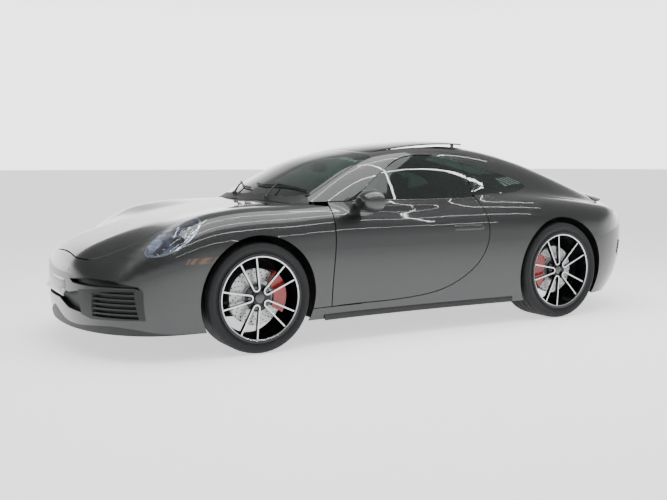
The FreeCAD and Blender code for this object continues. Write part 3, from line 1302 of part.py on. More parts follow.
def add_rim(name, end, place):
    """Dished barrel with five U-shaped spokes, each closing round one wheel bolt."""
    body = new_body(name)
    flange = "Sizes.%s_rim_radius" % end
    edge = "Sizes.%s_rim_width * %r" % (end, half)
    wide = "Sizes.%s_rim_width" % end
    seat = "(%s - Sizes.bead_depth - Sizes.fit_gap)" % flange
    well = "(%s - Sizes.rim_well_depth)" % flange
    wall = "Sizes.rim_wall"
    inner_edge = "%s * -%r" % (wide, half)
    turned(body, "barrel", [
        (flange, inner_edge), (flange, inner_edge + " + Sizes.rim_flange_width"),
        (seat, inner_edge + " + Sizes.rim_flange_width"), (seat, wide + " * -0.30"),
        (well, wide + " * -0.22"), (well, wide + " * -0.04"), (seat, wide + " * 0.10"),
        (seat, edge + " - Sizes.rim_flange_width"), (flange, edge + " - Sizes.rim_flange_width"),
        (flange, edge), (seat + " + %s * %r" % (wall, half), edge),
        (seat + " - " + wall, edge + " - Sizes.rim_flange_width * %r" % half),
        (seat + " - " + wall, wide + " * 0.10"), (well + " - " + wall, wide + " * -0.04"),
        (well + " - " + wall, wide + " * -0.22"), (seat + " - " + wall, wide + " * -0.30"),
        (seat + " - " + wall, inner_edge),
    ])
    offset = "Sizes.%s_wheel_offset" % end
    hub = new_sketch(body, "hub_round", "XY_Plane", offset)
    circle(hub, ("0", "0"), "Sizes.rim_hub_radius")
    circle(hub, ("0", "0"), "Sizes.rim_bore_radius")
    padded(body, "hub_disc", hub, "Sizes.rim_hub_depth")
    ring = new_sketch(body, "centre_round", "XY_Plane", offset)
    circle(ring, ("0", "0"), "Sizes.rim_centre_radius")
    circle(ring, ("0", "0"), "Sizes.rim_bore_radius")
    padded(body, "centre_ring", ring, "Sizes.rim_centre_depth")
    cap = new_sketch(body, "cap_round", "XY_Plane", offset + " + Sizes.rim_hub_depth")
    circle(cap, ("0", "0"), "Sizes.rim_bore_radius + Sizes.rim_wall")
    padded(body, "cap", cap, "Sizes.rim_centre_depth - Sizes.rim_hub_depth * %r" % half)

    along, across = spoke_slope_shares
    bend = "Sizes.spoke_bend_radius"
    bolt = "Sizes.bolt_circle_radius"
    reach = seat + " - " + wall + " * %r" % half
    run = "(sqrt((%s)^2 - (%s - %s * %r)^2) - %s * %r)" % (reach, bend, bolt, across, bolt, along)

    def corner(side, radius, far):
        u = "%s - (%s) * %r" % (bolt, radius, across)
        v = "((%s) * %r" % (radius, along)
        if far:
            u += " + %s * %r" % (run, along)
            v += " + %s * %r" % (run, across)
        return u, v + ") * %r" % side

    outer = bend + " + Sizes.spoke_width * %r" % half
    inner = bend + " - Sizes.spoke_width * %r" % half
    loop = [corner(one, outer, True), corner(one, outer, False), corner(-one, outer, False),
            corner(-one, outer, True), corner(-one, inner, True), corner(-one, inner, False),
            corner(one, inner, False), corner(one, inner, True)]
    back = "%s - Sizes.spoke_inset - Sizes.spoke_depth" % edge
    arm = new_sketch(body, "spoke_outline", "XY_Plane", back)
    centre = (bolt, "0")
    outline(arm, loop, ((1, centre, True), (5, centre, False)))
    around(body, "spokes", padded(body, "spoke", arm, "Sizes.spoke_depth"), spoke_pairs)
    face = "%s - Sizes.spoke_inset" % edge
    turned(body, "dish", [("0", face + " + Sizes.spoke_depth"), (seat + " - " + wall, face + " + Sizes.spoke_depth"),
                          (seat + " - " + wall, face), ("Sizes.rim_hub_radius", face + " - Sizes.spoke_dish"),
                          ("0", face + " - Sizes.spoke_dish")], "PartDesign::Groove")
    holes = new_sketch(body, "bolt_hole_round", "XY_Plane", offset + " - Sizes.spoke_depth")
    circle(holes, (bolt, "0"), "Sizes.bolt_hole_radius")
    hole = pocketed(body, "bolt_hole", holes, "Sizes.spoke_depth * 4")
    around(body, "bolt_holes", hole, spoke_pairs)
    body.Placement = place
    pieces.append(body)


def add_disc(name, end, place):
    """Brake disc with its hat, which sits behind the wheel hub."""
    body = new_body(name)
    top = "Sizes.%s_wheel_offset - Sizes.fit_gap" % end
    back = top + " - Sizes.disc_hat_depth"
    inner = "Sizes.disc_radius * %r" % disc_inner_share
    turned(body, "disc_ring", [
        (inner, back), ("Sizes.disc_radius", back), ("Sizes.disc_radius", back + " + Sizes.disc_depth"),
        ("Sizes.disc_hat_radius", back + " + Sizes.disc_depth"), ("Sizes.disc_hat_radius", top),
        ("Sizes.rim_bore_radius", top), ("Sizes.rim_bore_radius", top + " - Sizes.disc_hat_wall"),
        ("Sizes.disc_hat_radius - Sizes.disc_hat_wall", top + " - Sizes.disc_hat_wall"),
        ("Sizes.disc_hat_radius - Sizes.disc_hat_wall", back + " + Sizes.disc_depth * %r" % half),
        (inner, back + " + Sizes.disc_depth * %r" % half)])
    holes = new_sketch(body, "bolt_hole_round", "XY_Plane", top + " - Sizes.disc_hat_wall * 2")
    circle(holes, ("Sizes.bolt_circle_radius", "0"), "Sizes.bolt_hole_radius")
    around(body, "bolt_holes", pocketed(body, "bolt_hole", holes, "Sizes.disc_hat_wall * 4"), spoke_pairs)
    body.Placement = place
    pieces.append(body)


for end, axle in (("front", front_axle), ("rear", rear_axle)):
    for word, side in (("left", one), ("right", -one)):
        place = wheel_place(axle, size(end + "_track"), side)
        add_tyre("tyre_%s_%s" % (end, word), end, place)
        add_rim("rim_%s_%s" % (end, word), end, place)
        add_disc("disc_%s_%s" % (end, word), end, place)

# Brake calipers, knuckles and suspension
fa, ra = front_axle, rear_axle
fy = size("front_track") * half
ry = size("rear_track") * half
sideways = Vector(0, one, 0)
disc_radius = size("disc_radius")
disc_depth = size("disc_depth")
caliper_wall = size("caliper_wall")
front_disc_y = fy + size("front_wheel_offset") - fit - size("disc_hat_depth")
rear_disc_y = ry + size("rear_wheel_offset") - fit - size("disc_hat_depth")
caliper_inner_share = 0.64
front_caliper_angles = (128.0, 212.0)
rear_caliper_angles = (-38.0, 42.0)


def drum(at, radius, y_from, y_to):
    return Part.makeCylinder(radius, y_to - y_from, Vector(at.x, y_from, at.z), sideways)


def caliper(axle, disc_y, angles):
    """Sector of a ring that straddles the disc."""
    y_from = disc_y - gap - caliper_wall * two
    y_to = disc_y + disc_depth + gap + caliper_wall
    radius = disc_radius + gap + caliper_wall
    ring = drum(axle, radius, y_from, y_to).cut(drum(axle, disc_radius * caliper_inner_share, y_from, y_to))
    slot = drum(axle, disc_radius + gap, disc_y - gap, disc_y + disc_depth + gap)
    rays = [(axle.x + math.cos(math.radians(t)) * disc_radius * two,
             axle.z + math.sin(math.radians(t)) * disc_radius * two)
            for t in (angles[0], (angles[0] + angles[-1]) * half, angles[-1])]
    wedge = side_prism(closed([(axle.x, axle.z)] + rays), 0.0, y_from - gap, y_to + gap)
    return ring.common(wedge).cut(slot)


hub_radius = size("hub_radius")
knuckle_wide = size("knuckle_width")
arm_depth = size("arm_depth")
kingpin_y = fy - size("kingpin_inset")
front_caliper = caliper(fa, front_disc_y, front_caliper_angles)
knuckle_top = fa.z + size("knuckle_rise")
knuckle_foot = fa.z - size("knuckle_rise")
knuckle_back = front_disc_y - gap - caliper_wall * two - fit
knuckle = block((fa.x - knuckle_wide * half, kingpin_y - pin * two, knuckle_foot),
                (fa.x + knuckle_wide * half, kingpin_y + pin * two, knuckle_top))
hub_end = front_disc_y + size("disc_hat_depth") - size("disc_hat_wall") - fit
knuckle = knuckle.fuse([
    drum(fa, hub_radius, kingpin_y, hub_end),
    block((fa.x - disc_radius, kingpin_y - pin * two, fa.z - arm_depth),
          (fa.x, knuckle_back, fa.z + arm_depth * two)),
    Part.makeCylinder(pin * two, knuckle_top - knuckle_foot + arm_depth * two,
                      Vector(fa.x, kingpin_y, knuckle_foot - arm_depth))])
for word, turn in (("left", 0), ("right", one)):
    add_shape("caliper_front_" + word, both(front_caliper)[int(turn)])
    add_shape("knuckle_" + word, both(knuckle)[int(turn)])
add_shape("rear_calipers", on_both_sides(caliper(ra, rear_disc_y, rear_caliper_angles)))

arm_top = knuckle_foot - fit
arm_width = size("arm_width")
cross_half_share = 0.324
cross_half = half_width * cross_half_share
front_arm = block((fa.x - arm_width * half, cross_half * half, arm_top - arm_depth),
                  (fa.x + arm_width * half, kingpin_y + arm_width * half, arm_top))
front_arm = front_arm.cut(Part.makeCylinder(pin * two + fit, arm_depth * two,
                                            Vector(fa.x, kingpin_y, arm_top - arm_depth * two)))
floor_z = size("floor_height")
floor_top = floor_z + depth
cross = block((fa.x - arm_width, -cross_half, floor_top + fit), (fa.x + arm_width, cross_half, arm_top + arm_depth))
add_shape("front_subframe", cross.fuse(list(both(front_arm))))
upright_y = ry - size("kingpin_inset")
rear_hub_end = rear_disc_y + size("disc_hat_depth") - size("disc_hat_wall") - fit
upright = block((ra.x - knuckle_wide * half, upright_y - pin * two, ra.z - size("knuckle_rise")),
                (ra.x + knuckle_wide * half, upright_y + pin * two, ra.z + size("knuckle_rise")))
rear_back = rear_disc_y - gap - caliper_wall * two - fit
upright = upright.fuse([
    drum(ra, hub_radius, upright_y, rear_hub_end),
    block((ra.x, upright_y - pin * two, ra.z - arm_depth), (ra.x + disc_radius, rear_back, ra.z + arm_depth * two)),
    block((ra.x - arm_width * half, 0, ra.z - size("knuckle_rise")),
          (ra.x + arm_width * half, upright_y, ra.z - size("knuckle_rise") + arm_depth))])
rear_cross = block((ra.x - arm_width * two, -cross_half, floor_top + fit),
                   (ra.x + arm_width * two, cross_half, ra.z - size("knuckle_rise") + arm_depth))
add_shape("rear_suspension", rear_cross.fuse(list(both(upright))))

# Plates inside the skin. Their edges follow the inner side of the panels.
section_start_angle = -14.0
section_columns = 24


def section_wall(x_front, thick, deep, top):
    """Upright plate across the car, trimmed to the inside of the body skin."""
    shares = [(nose_x - x_front) / length, (nose_x - x_front + thick) / length]
    middle = Vector(0, 0, height * side_axis_share)
    points = []
    for angle in steps(section_start_angle, right_angle, section_columns):
        candidates = []
        for s in shares:
            p = section_point(s, angle, height * side_axis_share, outside)
            n = outward(p, outside)
            slope = math.hypot(n.y, n.z)
            q = Vector(0, p.y - n.y / slope * deep / slope, p.z - n.z / slope * deep / slope)
            candidates.append(q)
        points.append(min(candidates, key=lambda q: (q - middle).Length))
    points[-1].y = 0.0
    line = [(p.y, p.z) for p in points]
    other = [(-y, z) for y, z in reversed(line[:-1])]
    runs = straight(line + other) + [[other[-1], line[0]]]
    plate = prism(runs, 0.0, lambda u, v: Vector(x_front, u, v), Vector(-thick, 0, 0))
    return plate.common(block((x_front - thick, -half_width, floor_top + fit), (x_front, half_width, top)))


plate_depth = size("plate_depth")
wall_x = door_hinge.x + pin * two + fit + plate_depth
bulkhead = section_wall(wall_x, plate_depth, depth + hem * half, height)
door_post_foot = height * door_leaf_height_shares[0] + leaf * two + fit
door_post_head = height * door_leaf_height_shares[-1] - fit
door_post = Part.makeCylinder(pin, door_post_head - door_post_foot, Vector(door_hinge.x, door_hinge.y, door_post_foot))
door_web = block((door_hinge.x, door_hinge.y - pin, door_post_foot),
                 (wall_x - plate_depth * half, door_hinge.y + pin, door_post_head))
lid_post_y = front_hinge.y - leaf - fit
lid_post = drum(front_hinge, pin, lid_post_y, front_hinge.y - fit)
lid_web = block((wall_x - plate_depth * half, lid_post_y, front_hinge.z - pin),
                (front_hinge.x, front_hinge.y - fit, front_hinge.z + pin))
posts = [door_post, door_web, lid_post, lid_web]
bulkhead = bulkhead.fuse(posts + [p.mirror(Vector(), sideways) for p in posts])
front_plate_share = 0.0750
front_plate_top_share = 0.4400
front_plate_x = nose_x - front_plate_share * length
front_plate = section_wall(front_plate_x, plate_depth, lip + depth + hem * half, height * front_plate_top_share)
add_shape("front_bulkhead", Part.makeCompound([bulkhead, front_plate]))

wall_reach = size("rear_arch_radius") + size("liner_room") + size("liner_depth") + fit + plate_depth
rear_wall_x = ra.x + wall_reach
shelf_front_share = 0.6163
shelf_rear_share = 0.7170
rear_wall = section_wall(rear_wall_x, plate_depth, depth + fit, height * shelf_front_share + plate_depth)
shelf_half = half_width * front_hinge_shares[1]
shelf_line = [(rear_wall_x - plate_depth * half, height * shelf_front_share),
              (rear_hinge.x - plate_depth, height * shelf_rear_share)]
shelf = strip(shelf_line, plate_depth, lambda u, v: Vector(u, -shelf_half, v), Vector(0, shelf_half * two, 0))
rear_post_y = rear_hinge.y - leaf - fit
rear_post = drum(rear_hinge, pin, rear_post_y, rear_hinge.y - fit)
rear_web = block((rear_hinge.x - pin, rear_post_y, height * shelf_rear_share),
                 (rear_hinge.x + pin, rear_hinge.y - fit, rear_hinge.z))
rear_posts = [rear_post, rear_web]
rear_wall = rear_wall.fuse([shelf] + rear_posts + [p.mirror(Vector(), sideways) for p in rear_posts])
rear_plate_share = 0.9260
rear_plate_top_share = 0.5900
rear_plate_x = nose_x - rear_plate_share * length
rear_plate = section_wall(rear_plate_x, plate_depth, lip + depth + fit * two * two, height * rear_plate_top_share)
add_shape("rear_bulkhead", Part.makeCompound([rear_wall, rear_plate]))


def inner_width(x):
    """Half width to the inner side of the sill at floor level."""
    low, high = 0.0, half_width * two
    for _ in range(search_rounds * int(two)):
        middle = (low + high) * half
        if outside(x, middle, floor_z) < 0:
            low = middle
        else:
            high = middle
    n = outward(Vector(x, low, floor_z), outside)
    return low - (depth + fit) / math.hypot(n.x, n.y)


# Floor pan between the wheels, with sills and tunnel
front_reach = size("front_arch_radius") + size("liner_room") + size("liner_depth") + fit
front_inner = half_width * liner_inner_shares["front"] - fit
rear_inner = half_width * liner_inner_shares["rear"] - fit
nose_floor_half_share = 0.50
tail_floor_half_share = 0.54
tail_floor_share = 0.9370
floor_points = [(front_plate_x - plate_depth - fit, 0), (front_plate_x - plate_depth - fit, half_width * nose_floor_half_share),
                (fa.x + front_reach, front_inner), (fa.x - front_reach, front_inner)]
sill_front = fa.x - front_reach - fit
sill_rear = ra.x + wall_reach
for x in steps(sill_front, sill_rear, section_columns // int(two)):
    floor_points.append((x, inner_width(x)))
floor_points += [(sill_rear, rear_inner), (ra.x - wall_reach, rear_inner),
                 (nose_x - tail_floor_share * length, half_width * tail_floor_half_share),
                 (nose_x - tail_floor_share * length, 0)]
floor = plan_prism(mirrored(straight(floor_points)), 0.0, floor_z, floor_top)
tunnel_half = size("tunnel_width") * half
tunnel_top = floor_top + size("tunnel_rise")
tunnel = block((rear_wall_x + fit, -tunnel_half, floor_top - hem), (wall_x - plate_depth - fit, tunnel_half, tunnel_top))
tunnel = tunnel.cut(block((rear_wall_x, -tunnel_half + depth, 0), (wall_x, tunnel_half - depth, tunnel_top - depth)))
sill_inner_share = 0.7200
sill_outer_share = 0.7750
sill = block((rear_wall_x + fit, half_width * sill_inner_share, floor_top - hem),
             (wall_x - plate_depth - fit, half_width * sill_outer_share, floor_top + size("sill_rise")))
add_shape("floor_pan", floor.fuse([tunnel] + list(both(sill))))
tub_half = half_width * tub_half_share
tub_low = (wall_x + fit, -tub_half, arm_top + arm_depth + fit)
tub_high = (front_plate_x - plate_depth - fit, tub_half, height * tub_top_share)
tub = block(tub_low, tub_high)
tub = tub.cut(block((tub_low[0] + hem, -tub_half + hem, tub_low[-1] + hem),
                    (tub_high[0] - hem, tub_half - hem, tub_high[-1] + hem)))
add_shape("front_tub", tub)


def liner(axle, radius, inner, patch, bumper_wall):
    """Wheel arch liner, trimmed to the inner side of the wing."""
    radius += size("liner_room")
    shell = drum(axle, radius + size("liner_depth"), inner, half_width).cut(drum(axle, radius, inner, half_width))
    shell = shell.common(block((-length, -length, floor_top + fit), (length, length, length)))
    return largest(shell.common(layer(patch, inward, depth + fit, radius * two)).cut(bumper_wall))


add_shape("front_arch_liners", on_both_sides(liner(fa, size("front_arch_radius"),
                                                   half_width * liner_inner_shares["front"], fender_patch, largest(bumper))))
add_shape("rear_arch_liners", on_both_sides(liner(ra, size("rear_arch_radius"),
                                                  half_width * liner_inner_shares["rear"], frame_patch, largest(tail))))

# Engine and silencer
engine_half = size("engine_width") * half
engine = doc.addObject("Part::Box", "engine_block")
engine.Label = "engine_block"
engine.setExpression("Length", "Sizes.engine_length")
engine.setExpression("Width", "Sizes.engine_width")
engine.setExpression("Height", "Sizes.engine_height")
engine.Placement = Placement(Vector(rear_plate_x + gap, -engine_half, floor_top + fit), Rotation())
pieces.append(engine)
pipe_radius = size("exhaust_radius")
silencer_radius = size("silencer_radius")
silencer = Vector(rear_plate_x - plate_depth - fit - silencer_radius - hem, 0, height * tail_pipe_height_share)
silencer_half = half_width * silencer_half_share
drum_body = drum(silencer, silencer_radius, -silencer_half, silencer_half)
hanger = block((silencer.x, -hem_width, silencer.z),
               (rear_plate_x - plate_depth - fit, hem_width, silencer.z + silencer_radius * two))
tail_pipe_y = half_width * tail_pipe_share
tail_pipe_end = nose_x - tail_pipe_end_share * length
pipe_length = silencer.x - tail_pipe_end
pipe = Part.makeCylinder(pipe_radius, pipe_length, Vector(tail_pipe_end, tail_pipe_y, silencer.z), Vector(one, 0, 0))
bore = Part.makeCylinder(pipe_radius - hem, pipe_length * half, Vector(tail_pipe_end, tail_pipe_y, silencer.z), Vector(one, 0, 0))
add_shape("exhaust", drum_body.fuse([hanger] + list(both(pipe))).cut(list(both(bore))))

# Cabin
seat_half = size("seat_width") * half


def side_profile(shares, y_from, y_to):
    return side_prism(closed(mm_side(shares)), 0.0, y_from, y_to)


seat_y = half_width * seat_place_share
floor_share_line = (floor_top + fit) / height
seat = side_profile([(s, max(h, floor_share_line)) for s, h in seat_side_shares], seat_y - seat_half, seat_y + seat_half)
add_shape("front_seats", on_both_sides(seat))
bench_front = rear_wall_x + fit
bench = side_profile([(s, max(h, floor_share_line)) for s, h in bench_side_shares], tunnel_half + fit,
                     half_width * sill_inner_share - fit)
bench = bench.common(block((bench_front, 0, 0), (nose_x, half_width, height)))
add_shape("rear_seat", on_both_sides(bench))
dash_half = half_width * dash_half_share
dash = side_profile(dash_side_shares, -dash_half, dash_half)
dash = dash.common(block((0, -half_width, 0), (wall_x - plate_depth - fit, half_width, height)))
steering_lean = 68.0
steering_shares = (0.4233, 0.4104, 0.5855)
wheel_middle = hinge_point(steering_shares)
column_way = Vector(math.sin(math.radians(steering_lean)), 0, -math.cos(math.radians(steering_lean)))
hub_depth = size("steering_hub_depth")
column_start = wheel_middle + column_way * (hub_depth + fit)
column = Part.makeCylinder(size("steering_column_radius"), size("steering_column_length"), column_start, column_way)
add_shape("dashboard", dash.fuse(column))
body = new_body("steering_wheel")
sketch = new_sketch(body, "rim_round", "XZ_Plane")
circle(sketch, ("Sizes.steering_wheel_radius - Sizes.steering_rim_radius", "0"), "Sizes.steering_rim_radius")
ring = body.newObject("PartDesign::Revolution", "rim")
ring.Profile = (sketch, [""])
ring.ReferenceAxis = (sketch, ["V_Axis"])
ring.Angle = full_turn
hub = new_sketch(body, "hub_round", "XY_Plane", "Sizes.steering_hub_depth * -1")
circle(hub, ("0", "0"), "Sizes.steering_hub_radius")
padded(body, "hub", hub, "Sizes.steering_hub_depth")
for angle in (0.0, half_turn, full_turn - right_angle):
    spoke = new_sketch(body, "spoke_%d" % angle, "XY_Plane", "Sizes.steering_rim_radius * -%r" % half)
    c, s = math.cos(math.radians(angle)), math.sin(math.radians(angle))
    bar = "Sizes.steering_rim_radius"
    near = "Sizes.steering_hub_radius * %r" % half
    far = "(Sizes.steering_wheel_radius - Sizes.steering_rim_radius)"
    outline(spoke, [("%s * %r - %s * %r" % (u, c, v, s), "%s * %r + %s * %r" % (u, s, v, c))
                    for u, v in ((near, bar + " * -1"), (far, bar + " * -1"), (far, bar), (near, bar))])
    padded(body, "bar_%d" % angle, spoke, "Sizes.steering_rim_radius")
body.Placement = Placement(wheel_middle, Rotation(sideways, -steering_lean))
pieces.append(body)

# Door mirrors: a loft of ovals on a foot that stands on the door
ovals = []
for s, a_radius, h_radius in mirror_shares:
    x = nose_x - s * length
    centre = Vector(x, half_width * mirror_centre_shares[0], height * mirror_centre_shares[-1])
    oval = Part.Ellipse(Vector(), half_width * a_radius, height * h_radius)
    wire = Part.Wire(oval.toShape())
    wire.Placement = Placement(centre, Rotation(sideways, Vector(0, 0, one), Vector(one, 0, 0), "ZXY"))
    ovals.append(wire)
cap = Part.makeLoft(ovals, True, False)
foot = prism(closed(mm_front(mirror_foot_shares)), 0.0, lambda u, v: Vector(nose_x - mirror_foot_start_share * length, u, v),
             Vector(-size("mirror_foot_length"), 0, 0))
foot = foot.cut(layer(door_patch, inward, -fit, lip))
mirror_left, mirror_right = both(cap.fuse(largest(foot)))
add_shape("mirror_left", mirror_left)
add_shape("mirror_right", mirror_right)

doc.recompute()
for item in doc.Objects:
    if any(state in ("Invalid", "Error") for state in item.State):
        raise RuntimeError("faulty object " + item.Label)
for piece in pieces:
    shape = piece.Shape
    if shape.isNull() or not shape.isValid():
        raise RuntimeError("faulty piece " + piece.Label)
    shape.exportStep("parts/" + piece.Label + ".step")
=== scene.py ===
import math

import bmesh
import bpy
from mathutils import Euler, Matrix, Vector
from mathutils.bvhtree import BVHTree


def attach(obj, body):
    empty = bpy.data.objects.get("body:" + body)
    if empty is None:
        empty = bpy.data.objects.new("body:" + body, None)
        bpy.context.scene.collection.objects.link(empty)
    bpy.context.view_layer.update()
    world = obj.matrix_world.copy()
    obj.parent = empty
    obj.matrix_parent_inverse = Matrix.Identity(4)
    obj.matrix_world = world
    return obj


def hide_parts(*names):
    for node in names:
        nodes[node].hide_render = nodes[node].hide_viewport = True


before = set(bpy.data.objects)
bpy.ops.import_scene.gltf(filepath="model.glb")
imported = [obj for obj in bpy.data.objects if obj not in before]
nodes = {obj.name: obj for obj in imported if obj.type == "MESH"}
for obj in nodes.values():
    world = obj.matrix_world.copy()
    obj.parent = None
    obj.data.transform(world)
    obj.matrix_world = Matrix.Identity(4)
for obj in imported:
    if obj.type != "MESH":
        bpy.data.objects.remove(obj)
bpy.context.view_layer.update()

bl_info = {
    "name": "Sports Coupe",
    "version": (1, 0, 0),
    "blender": (4, 5, 0),
    "location": "3D View > Sidebar > Coupe",
    "description": "Dresses the frame of a two-door sports coupe with paint, glass, wheels, lamps and cabin",
    "category": "Add Mesh",
}

nose_x = 2.2595
length = 4.519
half_width = 0.926
height = 1.298
lamp_normal = Vector((0.4696, 0.4115, 0.7811)).normalized()

# Axle middle, tyre radius, tyre width, rim radius, hub face and bolt circle
wheel_facts = {
    "front": (Vector((1.2365, 0.780, 0.3398)), 0.3398, 0.245, 0.273, 0.060),
    "rear": (Vector((-1.2135, 0.767, 0.3582)), 0.3582, 0.300, 0.286, 0.070),
}
bolt_circle = 0.065
flanks = (("left", 1.0), ("right", -1.0))

# Camera of the photograph: place in metres, dip and heading in degrees, lens and sensor in mm
camera_place = (3.3174, 5.4002, 1.1367)
camera_dip = 5.810
camera_heading = -119.814
lens_mm = 44.916
sensor_mm = 36.0

# Middle of the door handle and the height of the belt strip
handle_place = Vector((-0.367, 0.95, 0.7085))
belt_height = 0.6985 * height


def linear(code, alpha=1.0):
    """Linear colour from an sRGB hex value."""
    channels = [int(code[i:i + 2], 16) / 255.0 for i in (1, 3, 5)]
    curve = [c / 12.92 if c <= 0.04045 else ((c + 0.055) / 1.055) ** 2.4 for c in channels]
    return (*curve, alpha)


def add_node(material, kind, links=(), **settings):
    """Adds one node, sets its inputs and properties, and links what feeds it; a kind in capitals is a sum."""
    if kind.isupper():
        kind, settings["operation"] = "Math", kind
    node = material.node_tree.nodes.new("ShaderNode" + kind)
    for key, value in settings.items():
        name = key.replace("_", " ")
        if name in node.inputs:
            node.inputs[name].default_value = value
        elif key.startswith("input"):
            node.inputs[int(key[len("input"):])].default_value = value
        else:
            setattr(node, key, value)
    for source, output, target in links:
        material.node_tree.links.new(source.outputs[output], node.inputs[target])
    return node


def new_material(name, **settings):
    """Principled material with its plain settings."""
    material = bpy.data.materials.new(name)
    material.use_nodes = True
    shader = material.node_tree.nodes["Principled BSDF"]
    for key, value in settings.items():
        shader.inputs[key.replace("_", " ")].default_value = value
    return material, shader


def join(material, source, output, shader, target):
    material.node_tree.links.new(source.outputs[output], shader.inputs[target])


def grained(material, shader, coords, pitch, rough, spread, bump, fine="TexNoise"):
    """Adds a grain of the given pitch in metres to the roughness and the relief."""
    grain = add_node(material, fine, [(coords, "Object", "Vector")], Scale=1.0 / pitch)
    output = "Fac" if fine == "TexNoise" else "Distance"
    spreader = add_node(material, "MapRange", [(grain, output, "Value")],
                        To_Min=rough - spread, To_Max=rough + spread)
    join(material, spreader, "Result", shader, "Roughness")
    relief = add_node(material, "Bump", [(grain, output, "Height")], Strength=bump, Distance=pitch * 0.3)
    join(material, relief, "Normal", shader, "Normal")
    return grain, relief


def tinted(material, shader, coords, pitch, dark, pale, grain=None):
    """Lets the colour drift between two hex values over the given pitch."""
    cloud = grain or add_node(material, "TexNoise", [(coords, "Object", "Vector")], Scale=1.0 / pitch)
    shades = add_node(material, "Mix", [(cloud, 0, 0)], data_type="RGBA")
    shades.inputs[6].default_value = linear(dark)
    shades.inputs[7].default_value = linear(pale)
    join(material, shades, 2, shader, "Base Color")
    return shades


def metallic_paint(colour):
    # Sprayed metallic base under clear lacquer: a deep grey that flares to silver where the light strikes,
    # with flakes drawn at 2 mm so that they show, and the faint orange peel of lacquer every 14 mm.
    material, shader = new_material("Metallic paint, sprayed and lacquered", Metallic=0.72, Roughness=0.34,
            Coat_Weight=1.0, Coat_Roughness=0.03)
    coords = add_node(material, "TexCoord")
    flakes = add_node(material, "TexVoronoi", [(coords, "Object", "Vector")], Scale=1.0 / 0.002)
    lift = add_node(material, "Mix", [(flakes, "Distance", 0)], data_type="RGBA")
    lift.inputs[6].default_value = [c * 0.86 for c in colour[:3]] + [1.0]
    lift.inputs[7].default_value = [min(c * 1.16, 1.0) for c in colour[:3]] + [1.0]
    join(material, lift, 2, shader, "Base Color")
    rough = add_node(material, "MapRange", [(flakes, "Distance", "Value")], To_Min=0.30, To_Max=0.38)
    join(material, rough, "Result", shader, "Roughness")
    peel = add_node(material, "TexNoise", [(coords, "Object", "Vector")], Scale=1.0 / 0.014)
    relief = add_node(material, "Bump", [(peel, "Fac", "Height")], Strength=0.03, Distance=0.0004)
    join(material, relief, "Normal", shader, "Coat Normal")
    return material


def tinted_glass(name, colour, rough=0.015, weight=0.94):
    # Floated and curved safety glass: smooth and faintly wavy, green in its body and dark against the cabin.
    material, shader = new_material(name, Base_Color=linear(colour), IOR=1.5, Transmission_Weight=weight)
    coords = add_node(material, "TexCoord")
    wave = add_node(material, "TexNoise", [(coords, "Object", "Vector")], Scale=1.0 / 0.25)
    spread = add_node(material, "MapRange", [(wave, "Fac", "Value")], To_Min=rough, To_Max=rough * 2.0)
    join(material, spread, "Result", shader, "Roughness")
    relief = add_node(material, "Bump", [(wave, "Fac", "Height")], Strength=0.02, Distance=0.0005)
    join(material, relief, "Normal", shader, "Normal")
    return material


def moulded_rubber():
    # Moulded tyre rubber: matt charcoal with a dusty sheen, fine slanted cuts across the tread every 24 mm.
    material, shader = new_material("Tyre rubber, moulded", Specular_IOR_Level=0.35)
    coords = add_node(material, "TexCoord")
    parts = add_node(material, "SeparateXYZ", [(coords, "UV", "Vector")])
    turn = add_node(material, "MULTIPLY", [(parts, "X", 0)], input1=88.0)
    slant = add_node(material, "MULTIPLY", [(parts, "Y", 0)], input1=5.0)
    both = add_node(material, "ADD", [(turn, 0, 0), (slant, 0, 1)])
    saw = add_node(material, "FRACT", [(both, 0, 0)])
    cut = add_node(material, "GREATER_THAN", [(saw, 0, 0)], input1=0.13)
    middle = add_node(material, "SUBTRACT", [(parts, "Y", 0)], input1=0.5)
    off = add_node(material, "ABSOLUTE", [(middle, 0, 0)])
    wall = add_node(material, "GREATER_THAN", [(off, 0, 0)], input1=0.30)
    solid = add_node(material, "MAXIMUM", [(cut, 0, 0), (wall, 0, 1)])
    dust = add_node(material, "TexNoise", [(coords, "Object", "Vector")], Scale=1.0 / 0.03)
    tinted(material, shader, coords, 0.03, "#0f1011", "#1d1e20", dust)
    rough = add_node(material, "MapRange", [(dust, "Fac", "Value")], To_Min=0.55, To_Max=0.80)
    join(material, rough, "Result", shader, "Roughness")
    relief = add_node(material, "Bump", [(solid, 0, "Height")], Strength=0.9, Distance=0.004)
    join(material, relief, "Normal", shader, "Normal")
    return material


def from_axle(material, place, axle):
    """Nodes for the offsets from an axle along X and Z and for the square of the distance from it."""
    u = add_node(material, "SUBTRACT", [(place, "X", 0)], input1=axle.x)
    v = add_node(material, "SUBTRACT", [(place, "Z", 0)], input1=axle.z)
    uu = add_node(material, "MULTIPLY", [(u, 0, 0), (u, 0, 1)])
    vv = add_node(material, "MULTIPLY_ADD", [(v, 0, 0), (v, 0, 1), (uu, 0, 2)])
    return u, v, vv


